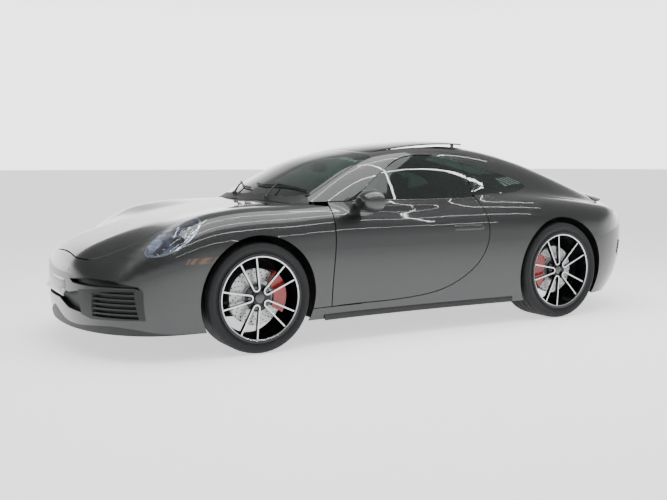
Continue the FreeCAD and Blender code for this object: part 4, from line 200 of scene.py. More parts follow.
def machined_rim(end):
    # Cast aluminium wheel, lacquered dark, with its outer faces turned bright: silver only where the
    # face looks straight out and lies within the lip, with lathe rings 1.5 mm apart on it.
    axle, _, _, rim, _ = wheel_facts[end]
    material, shader = new_material("Aluminium wheel, lacquered and face turned, " + end, Metallic=1.0,
            Coat_Weight=0.4)
    coords = add_node(material, "TexCoord")
    normal = add_node(material, "SeparateXYZ", [(coords, "Normal", "Vector")])
    place = add_node(material, "SeparateXYZ", [(coords, "Object", "Vector")])
    facing = add_node(material, "ABSOLUTE", [(normal, "Y", 0)])
    square = add_node(material, "GREATER_THAN", [(facing, 0, 0)], input1=0.90)
    away = add_node(material, "ABSOLUTE", [(place, "Y", 0)])
    outer = add_node(material, "GREATER_THAN", [(away, 0, 0)], input1=0.8750)
    _, _, vv = from_axle(material, place, axle)
    lip = add_node(material, "LESS_THAN", [(vv, 0, 0)], input1=(rim - 0.0165) ** 2)
    turned_face = add_node(material, "MULTIPLY", [(square, 0, 0), (outer, 0, 1)])
    bright = add_node(material, "MULTIPLY", [(turned_face, 0, 0), (lip, 0, 1)])
    shades = add_node(material, "Mix", [(bright, 0, 0)], data_type="RGBA")
    shades.inputs[6].default_value = linear("#2a2c2f")
    shades.inputs[7].default_value = linear("#d3d5d7")
    join(material, shades, 2, shader, "Base Color")
    rough = add_node(material, "MapRange", [(bright, 0, "Value")], To_Min=0.42, To_Max=0.22)
    join(material, rough, "Result", shader, "Roughness")
    rings = add_node(material, "TexWave", [(coords, "Object", "Vector")], wave_type="RINGS",
                     rings_direction="Y", Scale=1.0 / 0.015)
    relief = add_node(material, "Bump", [(rings, "Fac", "Height")], Strength=0.05, Distance=0.0003)
    join(material, relief, "Normal", shader, "Normal")
    return material


def drilled_iron(end):
    # Ground cast iron brake disc: pale grey, lightly ringed by the pads, with rows of drilled holes drawn flat
    # as near-black spots of painted shade, each with a dent in the relief.
    axle = wheel_facts[end][0]
    material, shader = new_material("Cast iron, ground and drilled, " + end, Metallic=0.9)
    coords = add_node(material, "TexCoord")
    place = add_node(material, "SeparateXYZ", [(coords, "Object", "Vector")])
    u, v, vv = from_axle(material, place, axle)
    radius = add_node(material, "SQRT", [(vv, 0, 0)])
    angle = add_node(material, "ARCTAN2", [(v, 0, 0), (u, 0, 1)])
    row = add_node(material, "MULTIPLY_ADD", [(radius, 0, 0)], input1=1.0 / 0.017, input2=-0.110 / 0.017)
    whole = add_node(material, "FLOOR", [(row, 0, 0)])
    part = add_node(material, "FRACT", [(row, 0, 0)])
    sector = add_node(material, "MULTIPLY", [(angle, 0, 0)], input1=24.0 / math.tau)
    stagger = add_node(material, "MULTIPLY_ADD", [(whole, 0, 0), (sector, 0, 2)], input1=0.34)
    turn = add_node(material, "FRACT", [(stagger, 0, 0)])
    across = add_node(material, "MULTIPLY_ADD", [(turn, 0, 0)], input1=2.0, input2=-1.0)
    up = add_node(material, "MULTIPLY_ADD", [(part, 0, 0)], input1=1.0, input2=-0.5)
    a2 = add_node(material, "MULTIPLY", [(across, 0, 0), (across, 0, 1)])
    b2 = add_node(material, "MULTIPLY_ADD", [(up, 0, 0), (up, 0, 1), (a2, 0, 2)])
    hole = add_node(material, "LESS_THAN", [(b2, 0, 0)], input1=0.055)
    ring = add_node(material, "GREATER_THAN", [(radius, 0, 0)], input1=0.110)
    mark = add_node(material, "MULTIPLY", [(hole, 0, 0), (ring, 0, 1)])
    # The holes get no geometry: their near-black colour is painted shade for the open hole.
    shades = add_node(material, "Mix", [(mark, 0, 0)], data_type="RGBA")
    shades.inputs[6].default_value = linear("#b4b5b6")
    shades.inputs[7].default_value = linear("#0c0c0d")
    join(material, shades, 2, shader, "Base Color")
    lines = add_node(material, "MULTIPLY", [(radius, 0, 0)], input1=math.tau / 0.003)
    wave = add_node(material, "SINE", [(lines, 0, 0)])
    rough = add_node(material, "MapRange", [(wave, 0, "Value")], From_Min=-1.0, To_Min=0.30, To_Max=0.42)
    join(material, rough, "Result", shader, "Roughness")
    deep = add_node(material, "MULTIPLY", [(mark, 0, 0)], input1=-1.0)
    relief = add_node(material, "Bump", [(deep, 0, "Height")], Strength=0.6, Distance=0.002)
    join(material, relief, "Normal", shader, "Normal")
    return material


def plain_finish(name, dark, pale, pitch, rough, spread, bump, **settings):
    """Finish whose colour drifts between two shades and whose grain has the given pitch in metres."""
    material, shader = new_material(name, **settings)
    coords = add_node(material, "TexCoord")
    grain, _ = grained(material, shader, coords, pitch, rough, spread, bump)
    tinted(material, shader, coords, pitch, dark, pale, grain)
    return material


def wing_paint(colour):
    # Lacquered wing whose underside is grained black plastic.
    material = metallic_paint(colour)
    material.name = "Metallic paint over black moulding"
    shader = material.node_tree.nodes["Principled BSDF"]
    source = shader.inputs["Base Color"].links[0].from_node
    coords = add_node(material, "TexCoord")
    normal = add_node(material, "SeparateXYZ", [(coords, "Normal", "Vector")])
    below = add_node(material, "LESS_THAN", [(normal, "Z", 0)], input1=0.25)
    shades = add_node(material, "Mix", [(below, 0, 0), (source, 2, 6)], data_type="RGBA")
    shades.inputs[7].default_value = linear("#0c0d0e")
    join(material, shades, 2, shader, "Base Color")
    metal = add_node(material, "MapRange", [(below, 0, "Value")], To_Min=0.72, To_Max=0.0)
    join(material, metal, "Result", shader, "Metallic")
    return material


def ribbed_lens(name, dark, pale, pitch, glow):
    # Moulded lamp lens: clear and wet looking, with upright ribs behind it.
    material, shader = new_material(name, Roughness=0.06, Coat_Weight=1.0, Coat_Roughness=0.02,
            Emission_Color=linear(pale), Emission_Strength=glow)
    coords = add_node(material, "TexCoord")
    ribs = add_node(material, "TexWave", [(coords, "Object", "Vector")], wave_type="BANDS",
                    bands_direction="Y", Scale=0.314 / pitch)
    tinted(material, shader, coords, pitch, dark, pale, ribs)
    relief = add_node(material, "Bump", [(ribs, "Fac", "Height")], Strength=0.5, Distance=0.002)
    join(material, relief, "Normal", shader, "Normal")
    return material


shelf = {}


def finish(key):
    """Looks a finish up on the shelf."""
    return shelf[key]


def fill_shelf(look):
    shelf["paint"] = metallic_paint(tuple(look.paint))
    shelf["wing"] = wing_paint(tuple(look.paint))
    shelf["glass"] = tinted_glass("Safety glass, floated and tinted green", "#5d6d66")
    shelf["roof glass"] = tinted_glass("Safety glass, floated, nearly black", "#0d0f10", 0.02, 0.15)
    shelf["lens"] = tinted_glass("Polycarbonate, moulded and hard coated", "#fafbfc", 0.005, 1.0)
    shelf["tyre"] = moulded_rubber()
    shelf["front rim"] = machined_rim("front")
    shelf["rear rim"] = machined_rim("rear")
    shelf["front disc"] = drilled_iron("front")
    shelf["rear disc"] = drilled_iron("rear")
    # Gloss enamel baked on the caliper castings: a warm red with a soft cast texture below it.
    shelf["caliper"] = plain_finish("Caliper enamel, sprayed and baked", "#7d0503", "#a30a06", 0.006, 0.26,
            0.05,
            0.15, Coat_Weight=0.6, Coat_Roughness=0.08)
    # Grained black plastic of intakes and lower trims: matt, with a fine leather-like grain.
    shelf["plastic"] = plain_finish("ABS, moulded with a fine grain", "#0b0c0d", "#16181a", 0.003, 0.52,
            0.10, 0.25)
    # Gloss black moulding: piano black with faint waviness.
    shelf["gloss"] = plain_finish("ABS, moulded and polished black", "#060607", "#0b0c0e", 0.08, 0.07,
            0.03, 0.02,
            Coat_Weight=1.0, Coat_Roughness=0.03)
    # Extruded rubber of the seals: matt black with a slight skin.
    shelf["seal"] = plain_finish("EPDM rubber, extruded", "#08090a", "#131415", 0.004, 0.60, 0.08, 0.2)
    # Pressed steel and castings under the car: dull grey with cast skin.
    shelf["casting"] = plain_finish("Aluminium, sand cast", "#6d7073", "#8c8f92", 0.005, 0.50, 0.12, 0.4,
            Metallic=0.9)
    # Underbody coating: dark and thickly textured.
    shelf["underbody"] = plain_finish("Underbody coating, sprayed", "#141516", "#232527", 0.008, 0.75,
            0.10, 0.6)
    # Polished stainless steel of the tail pipes: bright with a warm, fine drawn texture.
    shelf["steel"] = plain_finish("Stainless steel, drawn and polished", "#b9b7b3", "#d6d4d0", 0.01, 0.16,
            0.06,
            0.05, Metallic=1.0)
    # Vapour coated lamp reflector: a bright silver mirror.
    shelf["reflector"] = plain_finish("Reflector, moulded and vapour coated", "#b8bcc4", "#e6e9ee", 0.02,
            0.08, 0.04,
            0.05, Metallic=1.0)
    # Lamp bowl of moulded plastic under a smoked metal film: a cool grey mirror with faint flutes.
    shelf["bowl"] = plain_finish("Lamp bowl, moulded and metallised grey", "#6d7480", "#a9b3c6", 0.012,
            0.14, 0.06,
            0.12, Metallic=0.85)
    # Coated projector glass, drawn opaque: its dark blue to violet base colour is painted shade for the dark
    # inside of the lamp, and its part metal finish gives the tinted mirror of the coating.
    shelf["projector"] = plain_finish("Projector glass, pressed and coated", "#14162c", "#39406e", 0.03,
            0.04, 0.02,
            0.02, Metallic=0.6, Coat_Weight=1.0, Coat_Roughness=0.01)
    shelf["tail"] = ribbed_lens("Acrylic, moulded red", "#5e0508", "#c4161a", 0.008, 0.25)
    shelf["marker"] = ribbed_lens("Acrylic, moulded smoked amber", "#1b1512", "#5a3a22", 0.006, 0.02)
    # Silvered mirror glass: a cold clear mirror.
    shelf["mirror"] = plain_finish("Mirror glass, silvered", "#c9d2d6", "#d8dfe2", 0.2, 0.02, 0.01, 0.01,
            Metallic=1.0)
    # Smooth finished hide: black with a fine pebble every 2.5 mm and a soft sheen.
    shelf["leather"] = plain_finish("Leather, tanned and embossed", "#0d0d0e", "#1d1d1f", 0.0025, 0.48,
            0.08, 0.5,
            Sheen_Weight=0.15)
    # Sewing thread and piping.
    shelf["thread"] = plain_finish("Polyester thread, twisted", "#3a3b3d", "#56585b", 0.001, 0.7, 0.08, 0.3)
    # Foam backed skin of the dashboard: matt black with a coarse grain.
    shelf["skin"] = plain_finish("Polyurethane skin, slush moulded", "#101112", "#1b1c1e", 0.004, 0.62,
            0.08, 0.35)
    # Switched-off display glass: deep black gloss.
    shelf["display"] = plain_finish("Display glass, bonded", "#050608", "#0a0c10", 0.1, 0.05, 0.02, 0.01)
    # Blank registration plate: white painted aluminium.
    shelf["plate"] = plain_finish("Aluminium plate, painted white", "#d9dadb", "#e6e7e8", 0.004, 0.35,
            0.05, 0.1)


def dress(names, key):
    """Gives frame nodes their finish."""
    for name in names:
        piece = nodes[name]
        if not piece.material_slots:
            piece.data.materials.append(finish(key))
        for place in piece.material_slots:
            place.material = finish(key)


def add_piece(name, points, faces, key, body, crease=40.0, uvs=None):
    """Makes a mesh piece that moves with a body of the frame."""
    mesh = bpy.data.meshes.new(name)
    mesh.from_pydata([tuple(p) for p in points], [], faces)
    mesh.validate()
    mesh.polygons.foreach_set("use_smooth", [True] * len(mesh.polygons))
    mesh.set_sharp_from_angle(angle=math.radians(crease))
    if uvs:
        layer = mesh.uv_layers.new(name="round")
        for loop in mesh.loops:
            layer.data[loop.index].uv = uvs[loop.vertex_index]
    mesh.materials.append(finish(key))
    piece = bpy.data.objects.new(name, mesh)
    bpy.context.scene.collection.objects.link(piece)
    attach(piece, body)
    return piece


def turned(name, profile, origin, axis, key, body, count=48, start=0.0, share=1.0):
    """Turns a profile of (radius, offset) pairs about an axis."""
    axis = axis.normalized()
    across = axis.orthogonal().normalized()
    up = axis.cross(across)
    columns = count if share >= 1.0 else count + 1
    points = []
    for i in range(columns):
        t = start + math.tau * share * i / count
        ray = across * math.cos(t) + up * math.sin(t)
        points.extend(origin + axis * offset + ray * radius for radius, offset in profile)
    rows = len(profile)
    faces = []
    for i in range(count):
        j = (i + 1) % columns
        for k in range(rows - 1):
            faces.append((i * rows + k, j * rows + k, j * rows + k + 1, i * rows + k + 1))
    return add_piece(name, points, faces, key, body)


def rod(name, path, radius, key, body, ring=False, sides=8):
    """Sweeps a circle along a path of points."""
    path = [Vector(p) for p in path]
    count = len(path)
    points = []
    normal = None
    for i, p in enumerate(path):
        before = path[i - 1] if ring or i else p
        after = path[(i + 1) % count] if ring or i + 1 < count else p
        way = (after - before).normalized()
        if normal is None:
            normal = way.orthogonal().normalized()
        normal = (normal - way * normal.dot(way)).normalized()
        side = way.cross(normal)
        wide = radius(i / max(count - 1, 1)) if callable(radius) else radius
        for k in range(sides):
            t = math.tau * k / sides
            points.append(p + (normal * math.cos(t) + side * math.sin(t)) * wide)
    faces = []
    for i in range(count if ring else count - 1):
        j = (i + 1) % count
        for k in range(sides):
            m = (k + 1) % sides
            faces.append((i * sides + k, i * sides + m, j * sides + m, j * sides + k))
    if not ring:
        faces.append(tuple(range(sides))[::-1])
        faces.append(tuple((count - 1) * sides + k for k in range(sides)))
    return add_piece(name, points, faces, key, body, 50.0)


def skin_of(names):
    """Search tree over frame nodes, for laying trims on them."""
    points, faces = [], []
    for name in names:
        mesh = nodes[name].data
        base = len(points)
        points.extend(v.co.copy() for v in mesh.vertices)
        faces.extend(tuple(base + i for i in p.vertices) for p in mesh.polygons)
    return BVHTree.FromPolygons(points, faces)


def laid_pad(name, skin, origin, along, upward, cast, half_u, half_v, proud, rounding, key, body,
             columns=16, rows=8, sink=0.0015):
    """Crowned pad laid on the skin: a rounded outline cast on it, proud in the middle and let in at its edge."""
    middle, _, _, _ = skin.ray_cast(origin - cast * 0.4, cast, 1.2)
    if middle is None:
        raise RuntimeError("no skin under " + name)
    depth = (middle - origin).dot(cast)
    grid = []
    for j in range(rows + 1):
        line = []
        for i in range(columns + 1):
            u, v = 2.0 * i / columns - 1.0, 2.0 * j / rows - 1.0
            uu = u * math.sqrt(1.0 - rounding * v * v / 2.0) * half_u
            vv = v * math.sqrt(1.0 - rounding * u * u / 2.0) * half_v
            start = origin + along * uu + upward * vv - cast * 0.4
            hit, normal, _, _ = skin.ray_cast(start, cast, 1.2)
            if hit is None or (hit - origin).dot(cast) > depth + 0.05:
                hit, normal = origin + along * uu + upward * vv + cast * depth, -cast
            if normal.dot(cast) > 0:
                normal = -normal
            rim = max(abs(u), abs(v))
            lift = proud * (1.0 - rim ** 10) - (sink if rim > 0.999 else 0.0)
            line.append(hit + normal * lift)
        grid.append(line)
    points = [p for line in grid for p in line]
    wide = columns + 1
    faces = [(j * wide + i, j * wide + i + 1, (j + 1) * wide + i + 1, (j + 1) * wide + i)
             for j in range(rows) for i in range(columns)]
    if along.cross(upward).dot(cast) > 0:
        faces = [f[::-1] for f in faces]
    return add_piece(name, points, faces, key, body, 60.0)


def cushion(name, size, place, body, crown=0.16, pull=0.05, channels=(), key="leather"):
    """Stuffed pad: a crowned closed form with drawn-in sides, sewn channels and piping round its seam."""
    form = bmesh.new()
    bmesh.ops.create_cube(form, size=2.0)
    bmesh.ops.subdivide_edges(form, edges=form.edges[:], cuts=9, use_grid_fill=True)
    power = 6.0
    for vertex in form.verts:
        x, y, z = vertex.co
        k = (abs(x) ** power + abs(y) ** power + abs(z) ** power) ** (1.0 / power)
        x, y, z = x / k, y / k, z / k
        swell = crown * (1.0 - x * x) * (1.0 - y * y)
        z += swell * math.copysign(1.0, z) if abs(z) > 0.3 else 0.0
        x *= 1.0 - pull * (1.0 - y * y)
        y *= 1.0 - pull * (1.0 - x * x)
        for c in channels:
            if z > 0:
                z -= 0.16 * math.exp(-((x - c) / 0.05) ** 2)
        vertex.co = place @ Vector((x * size[0] / 2.0, y * size[1] / 2.0, z * size[2] / 2.0))
    mesh = bpy.data.meshes.new(name)
    form.to_mesh(mesh)
    form.free()
    mesh.polygons.foreach_set("use_smooth", [True] * len(mesh.polygons))
    mesh.materials.append(finish(key))
    pad = bpy.data.objects.new(name, mesh)
    bpy.context.scene.collection.objects.link(pad)
    smooth = pad.modifiers.new("rounding", "SUBSURF")
    smooth.levels = smooth.render_levels = 1
    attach(pad, body)
    seam = []
    for i in range(48):
        t = math.tau * i / 48
        x, y = math.cos(t), math.sin(t)
        k = (abs(x) ** power + abs(y) ** power) ** (1.0 / power)
        x, y = x / k, y / k
        x *= 1.0 - pull * (1.0 - y * y)
        y *= 1.0 - pull * (1.0 - x * x)
        seam.append(place @ Vector((x * size[0] / 2.0 * 0.985, y * size[1] / 2.0 * 0.985, size[2] * 0.26)))
    rod(name + "_piping", seam, 0.0022, "thread", body, ring=True, sides=6)
    return pad


left, up, ahead = Vector((0, 1, 0)), Vector((0, 0, 1)), Vector((1, 0, 0))
upright = ("roof_panel", "windscreen", "rear_screen", "cowl", "front_lid", "rear_lid", "glass_seals",
           "front_bumper", "rear_bumper", "fender_left", "fender_right", "side_frame_left",
           "side_frame_right",
           "door_left", "door_right", "door_glass_left", "door_glass_right", "rear_lid_grille")

# Finish of each node of the frame
clothes = {
    "paint": "fender_left fender_right door_left door_right side_frame_left side_frame_right front_lid rear_lid "
             "roof_panel front_bumper rear_bumper mirror_left mirror_right",
    "wing": "spoiler",
    "glass": "windscreen rear_screen quarter_glass door_glass_left door_glass_right",
    "roof glass": "sunroof_panel",
    "seal": "glass_seals",
    "lens": "headlamps",
    "bowl": "lamp_housings",
    "tail": "tail_lamp",
    "marker": "side_markers",
    "plastic": "front_grille rear_grilles rear_lid_grille cowl front_arch_liners rear_arch_liners",
    "tyre": "tyre_front_left tyre_front_right tyre_rear_left tyre_rear_right",
    "front rim": "rim_front_left rim_front_right",
    "rear rim": "rim_rear_left rim_rear_right",
    "front disc": "disc_front_left disc_front_right",
    "rear disc": "disc_rear_left disc_rear_right",
    "caliper": "caliper_front_left caliper_front_right rear_calipers",
    "casting": "knuckle_left knuckle_right front_subframe rear_suspension engine_block",
    "underbody": "front_bulkhead rear_bulkhead floor_pan front_tub",
    "steel": "exhaust",
    "skin": "dashboard",
    "leather": "steering_wheel front_seats rear_seat",
}


class CoupeLook(bpy.types.PropertyGroup):
    """Colours of the car"""
    paint: bpy.props.FloatVectorProperty(name="Paint", description="Colour of the metallic base coat",
            default=linear("#2b2c2d"), size=4, subtype="COLOR", min=0.0,
            max=1.0)
    sky: bpy.props.FloatProperty(name="Studio glow", description="Strength of the white studio walls",
            default=3.2, min=0.0, max=8.0)


class CoupeWheels(bpy.types.PropertyGroup):
    """Sizes of the wheels' small parts"""
    bolt_radius: bpy.props.FloatProperty(name="Bolt radius", description="Radius of a wheel bolt's head",
            default=0.0115, unit="LENGTH")
    groove_depth: bpy.props.FloatProperty(name="Groove depth",
            description="Depth of the tread's round grooves",
            default=0.007, unit="LENGTH")


class CoupeCabin(bpy.types.PropertyGroup):
    """Sizes of the cabin's small parts"""
    seat_width: bpy.props.FloatProperty(name="Seat width",
            description="Width of a front seat over its bolsters",
            default=0.500, unit="LENGTH")


class COUPE_OT_finishes(bpy.types.Operator):
    """Mixes the finishes and puts them on the pieces of the frame"""
    bl_idname = "coupe.finishes"
    bl_label = "Finishes"

    def execute(self, context):
        fill_shelf(context.scene.coupe_look)
        for key, names in clothes.items():
            dress(names.split(), key)
        return {"FINISHED"}


class COUPE_OT_tyres(bpy.types.Operator):
    """Tyres with grooved tread, rounded shoulders and rim ribs"""
    bl_idname = "coupe.tyres"
    bl_label = "Tyres"

    def execute(self, context):
        deep = context.scene.coupe_wheels.groove_depth
        for end, (axle, radius, width, rim, _) in wheel_facts.items():
            base = rim - 0.017
            crown = radius - 0.0006
            half = width / 2.0
            side = [(base, 0.82 * half), (base + 0.006, 0.84 * half), (rim - 0.001, 0.875 * half),
                    (rim + 0.004, 0.93 * half), (rim + 0.009, 0.945 * half), (rim + 0.012, 0.925 * half),
                    (rim + 0.020, 0.955 * half), (rim + 0.0205, 0.962 * half), (rim + 0.023, 0.962 * half),
                    (rim + 0.0235, 0.965 * half), (crown - 0.032, 0.985 * half), (crown - 0.024,
                    0.980 * half),
                    (crown - 0.0235, 0.970 * half), (crown - 0.020, 0.968 * half), (crown - 0.014,
                    0.945 * half),
                    (crown - 0.007, 0.885 * half), (crown - 0.003, 0.82 * half), (crown - 0.0012,
                    0.74 * half)]
            tread = []
            for place, wide in ((0.60, 0.0045), (0.22, 0.0055)):
                middle = place * half
                tread += [(crown, middle + wide), (crown - deep, middle + wide * 0.6),
                          (crown - deep, middle - wide * 0.6), (crown, middle - wide)]
            profile = side + tread
            profile += [(r, -o) for r, o in reversed(profile)]
            for word, sign in flanks:
                centre = Vector((axle.x, sign * axle.y, axle.z))
                name = "tyre_%s_%s" % (end, word)
                count = 96
                piece = turned(name + "_tread", profile, centre, left * sign, "tyre", "wheel_%s_%s" % (end,
                        word), count)
                rows = len(profile)
                run = [0.0]
                for p, q in zip(profile, profile[1:]):
                    run.append(run[-1] + math.dist(p, q))
                layer = piece.data.uv_layers.new(name="round")
                for face in piece.data.polygons:
                    columns = [piece.data.loops[i].vertex_index // rows for i in face.loop_indices]
                    wrap = max(columns) - min(columns) > 1
                    for i, column in zip(face.loop_indices, columns):
                        row = piece.data.loops[i].vertex_index % rows
                        turn = (column + (count if wrap and column == 0 else 0)) / count
                        layer.data[i].uv = (turn, run[row] / run[-1])
                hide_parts(name)
        return {"FINISHED"}


class COUPE_OT_wheel_parts(bpy.types.Operator):
    """Wheel bolts, plain centre caps and valve stems"""
    bl_idname = "coupe.wheel_parts"
    bl_label = "Wheel bolts and caps"

    def execute(self, context):
        r = context.scene.coupe_wheels.bolt_radius
        bolt = [(r, 0.0), (r, 0.004), (r * 0.86, 0.0065), (r * 0.80, 0.0150), (r * 0.66, 0.0170),
                (r * 0.48, 0.0165), (r * 0.44, 0.0100), (0.0001, 0.0100)]
        cap = [(0.0305, 0.0), (0.0310, 0.0020), (0.0300, 0.0034), (0.0282, 0.0036), (0.0272, 0.0026),
               (0.0200, 0.0034), (0.0100, 0.0040), (0.0001, 0.0042)]
        for end, (axle, _, _, rim, hub) in wheel_facts.items():
            for word, sign in flanks:
                body = "wheel_%s_%s" % (end, word)
                out = left * sign
                centre = Vector((axle.x, sign * axle.y, axle.z))
                for i in range(5):
                    t = math.tau * i / 5
                    spot = centre + out * (hub + 0.014) + Vector((math.cos(t), 0,
                            -sign * math.sin(t))) * bolt_circle
                    turned("bolt_%s_%s_%d" % (end, word, i + 1), bolt, spot, out, "casting", body, 18)
                turned("cap_%s_%s" % (end, word), cap, centre + out * (hub + 0.0331), out, "gloss", body,
                       40)
                stem = [centre + out * (0.085 + 0.004 * i) + Vector((0, 0, 1)) * (rim - 0.030 - 0.004 * i)
                        for i in range(5)]
                rod("valve_%s_%s" % (end, word), stem, lambda t: 0.0042 - 0.0012 * t, "gloss", body)
        return {"FINISHED"}


class COUPE_OT_lamps(bpy.types.Operator):
    """Projectors, light rings, trays and light points in the headlamps"""
    bl_idname = "coupe.lamps"
    bl_label = "Lamps"

    def execute(self, context):
        lens = [(0.0300, -0.010), (0.0300, 0.000), (0.0280, 0.006), (0.0220, 0.0115), (0.0120, 0.0150),
                (0.0001, 0.0160)]
        small = [(r * 0.42, o * 0.5) for r, o in lens]
        bezel = [(0.0310, -0.016), (0.0310, -0.002), (0.0330, 0.0015), (0.0370, 0.0020), (0.0385, -0.001),
                 (0.0390, -0.016)]
        tray = [(0.0400, -0.010), (0.0480, -0.012), (0.0600, -0.012), (0.0620, -0.008), (0.0640, -0.012),
                (0.0645, -0.026)]
        for word, sign in flanks:
            way = Vector((lamp_normal.x, sign * lamp_normal.y, lamp_normal.z))
            middle = Vector((1.672, sign * 0.735, 0.742))
            turned("projector_lens_" + word, lens, middle, way, "projector", "body", 40)
            turned("projector_ring_" + word, bezel, middle, way, "reflector", "body", 48)
            turned("lamp_tray_" + word, tray, middle, way, "gloss", "body", 56)
            across = way.orthogonal().normalized()
            rise = way.cross(across)
            for i in range(4):
                t = math.radians(45 + 90 * i)
                spot = middle + (across * math.cos(t) + rise * math.sin(t)) * 0.050
                turned("light_point_%s_%d" % (word, i + 1), small, spot, way, "reflector", "body", 24)
        return {"FINISHED"}


class COUPE_OT_trims(bpy.types.Operator):
    """Flush door handles, sill strips, belt strips, wipers, sensors, mirror glass and blank plates"""
    bl_idname = "coupe.trims"
    bl_label = "Trims"

    def execute(self, context):
        shell = skin_of(upright)
        for word, sign in flanks:
            inward = Vector((0, -sign, 0))
            door = skin_of(["door_" + word])
            laid_pad("handle_" + word, door, Vector((handle_place.x, sign * handle_place.y,
                    handle_place.z)), ahead, up, inward, 0.128,
                     0.0165, 0.0045, 0.30, "paint", "door_" + word, 28, 8)
            # Black gloss pad a little larger than the handle: painted shade for the recess round the flush
            # handle.
            laid_pad("handle_recess_shade_" + word, door, Vector((handle_place.x, sign * handle_place.y,
                    handle_place.z)), ahead, up, inward,
                     0.1345, 0.0225, 0.0012, 0.30, "gloss", "door_" + word, 28, 8)
            side = skin_of(["side_frame_" + word])
            points, faces = [], []
            count = 60
            for i in range(count + 1):
                x = 0.78 - 1.54 * i / count
                ring = []
                for z, out in ((0.158, -0.002), (0.158, 0.006), (0.190, 0.006), (0.196, 0.0025), (0.197,
                        -0.002)):
                    hit, _, _, _ = side.ray_cast(Vector((x, sign * 1.2, max(z, 0.172))), inward, 0.6)
                    y = abs(hit.y) if hit else 0.86
                    ring.append(Vector((x, sign * (y + out), z)))
                points.extend(ring)
            for i in range(count):
                for k in range(4):
                    quad = (i * 5 + k, i * 5 + k + 1, i * 5 + k + 6, i * 5 + k + 5)
                    faces.append(quad if sign < 0 else quad[::-1])
            add_piece("sill_strip_" + word, points, faces, "plastic", "body", 40.0)
            belt = []
            for i in range(41):
                x = nose_x - (0.3600 + (0.6100 - 0.3600) * i / 40) * length
                z = belt_height
                hit, _, _, _ = shell.ray_cast(Vector((x, sign * 1.2, z)), inward, 0.8)
                if hit is not None:
                    belt.append(hit + Vector((0, sign * 0.001, 0)))
            rod("belt_strip_" + word, belt, 0.0045, "gloss", "door_" + word, sides=8)
            glass = [(0.086, 0.0), (0.089, 0.0015), (0.087, 0.003), (0.04, 0.0036), (0.0001, 0.0038)]
            mirror = turned("mirror_glass_" + word, glass,
                            Vector((nose_x - 0.4034 * length - 0.0005, sign * half_width,
                    0.7030 * height)), -ahead, "mirror", "door_" + word, 40)
            for vertex in mirror.data.vertices:
                vertex.co.z = 0.7030 * height + (vertex.co.z - 0.7030 * height) * 0.66
        for i, a in enumerate((-0.72, -0.30, 0.30, 0.72)):
            laid_pad("front_sensor_%d" % (i + 1), shell, Vector((2.30, a * half_width, 0.395 * height)),
                     left, up,
                     -ahead, 0.010, 0.010, 0.0012, 1.0, "paint", "body", 8, 8, 0.0004)
            laid_pad("rear_sensor_%d" % (i + 1), shell, Vector((-2.30, a * half_width, 0.455 * height)),
                     left, up,
                     ahead, 0.010, 0.010, 0.0012, 1.0, "paint", "body", 8, 8, 0.0004)
        laid_pad("front_plate", shell, Vector((2.30, 0, 0.311 * height)), left, up, -ahead, 0.26, 0.0555,
                 0.005,
                 0.05, "gloss", "body", 24, 6)
        laid_pad("rear_plate", shell, Vector((-2.30, 0, 0.480 * height)), left, up, ahead, 0.26, 0.056,
                 0.006, 0.05,
                 "plate", "body", 24, 6)
        screen = skin_of(["windscreen", "cowl", "glass_seals"])
        for name, start, end, at in (("left", 0.60, 0.02, 0.40), ("right", 0.02, -0.54, -0.12)):
            blade = []
            for i in range(25):
                t = i / 24
                y = start + (end - start) * t
                a = abs(y) / half_width
                s = 0.2990 + 0.060 * max(a - 0.15, 0.0) + 0.012 * t
                hit, _, _, _ = screen.ray_cast(Vector((nose_x - s * length, y, 1.4)), -up, 1.0)
                if hit is not None:
                    blade.append(hit + up * 0.010)
            rod("wiper_blade_" + name, blade, 0.0055, "seal", "body", sides=6)
            rod("wiper_spine_" + name, [p + up * 0.007 for p in blade], 0.0040, "plastic", "body", sides=6)
            hit, _, _, _ = screen.ray_cast(Vector((nose_x - 0.2855 * length, at, 1.4)), -up, 1.0)
            pivot = (hit if hit is not None else Vector((0.97, at, 0.92))) + up * 0.010
            middle = blade[len(blade) // 2] + up * 0.014
            arm = [pivot.lerp(middle, i / 8) + up * 0.010 * math.sin(math.pi * i / 8) for i in range(9)]
            rod("wiper_arm_" + name, arm, lambda t: 0.0085 - 0.004 * t, "plastic", "body", sides=8)
            turned("wiper_pivot_" + name, [(0.016, -0.012), (0.016, 0.004), (0.012, 0.009), (0.0001,
                    0.0105)],
                    pivot,
                   up, "plastic", "body", 20)
        tip = [(0.0400, -0.060), (0.0405, -0.004), (0.0420, 0.0), (0.0425, 0.004), (0.0412, 0.007),
               (0.0385, 0.006),
               (0.0370, 0.0), (0.0365, -0.060)]
        for word, sign in flanks:
            turned("tail_pipe_tip_" + word, tip, Vector((-2.1827, sign * 0.2408, 0.2752)), -ahead, "steel",
                   "body",
                   44)
        return {"FINISHED"}


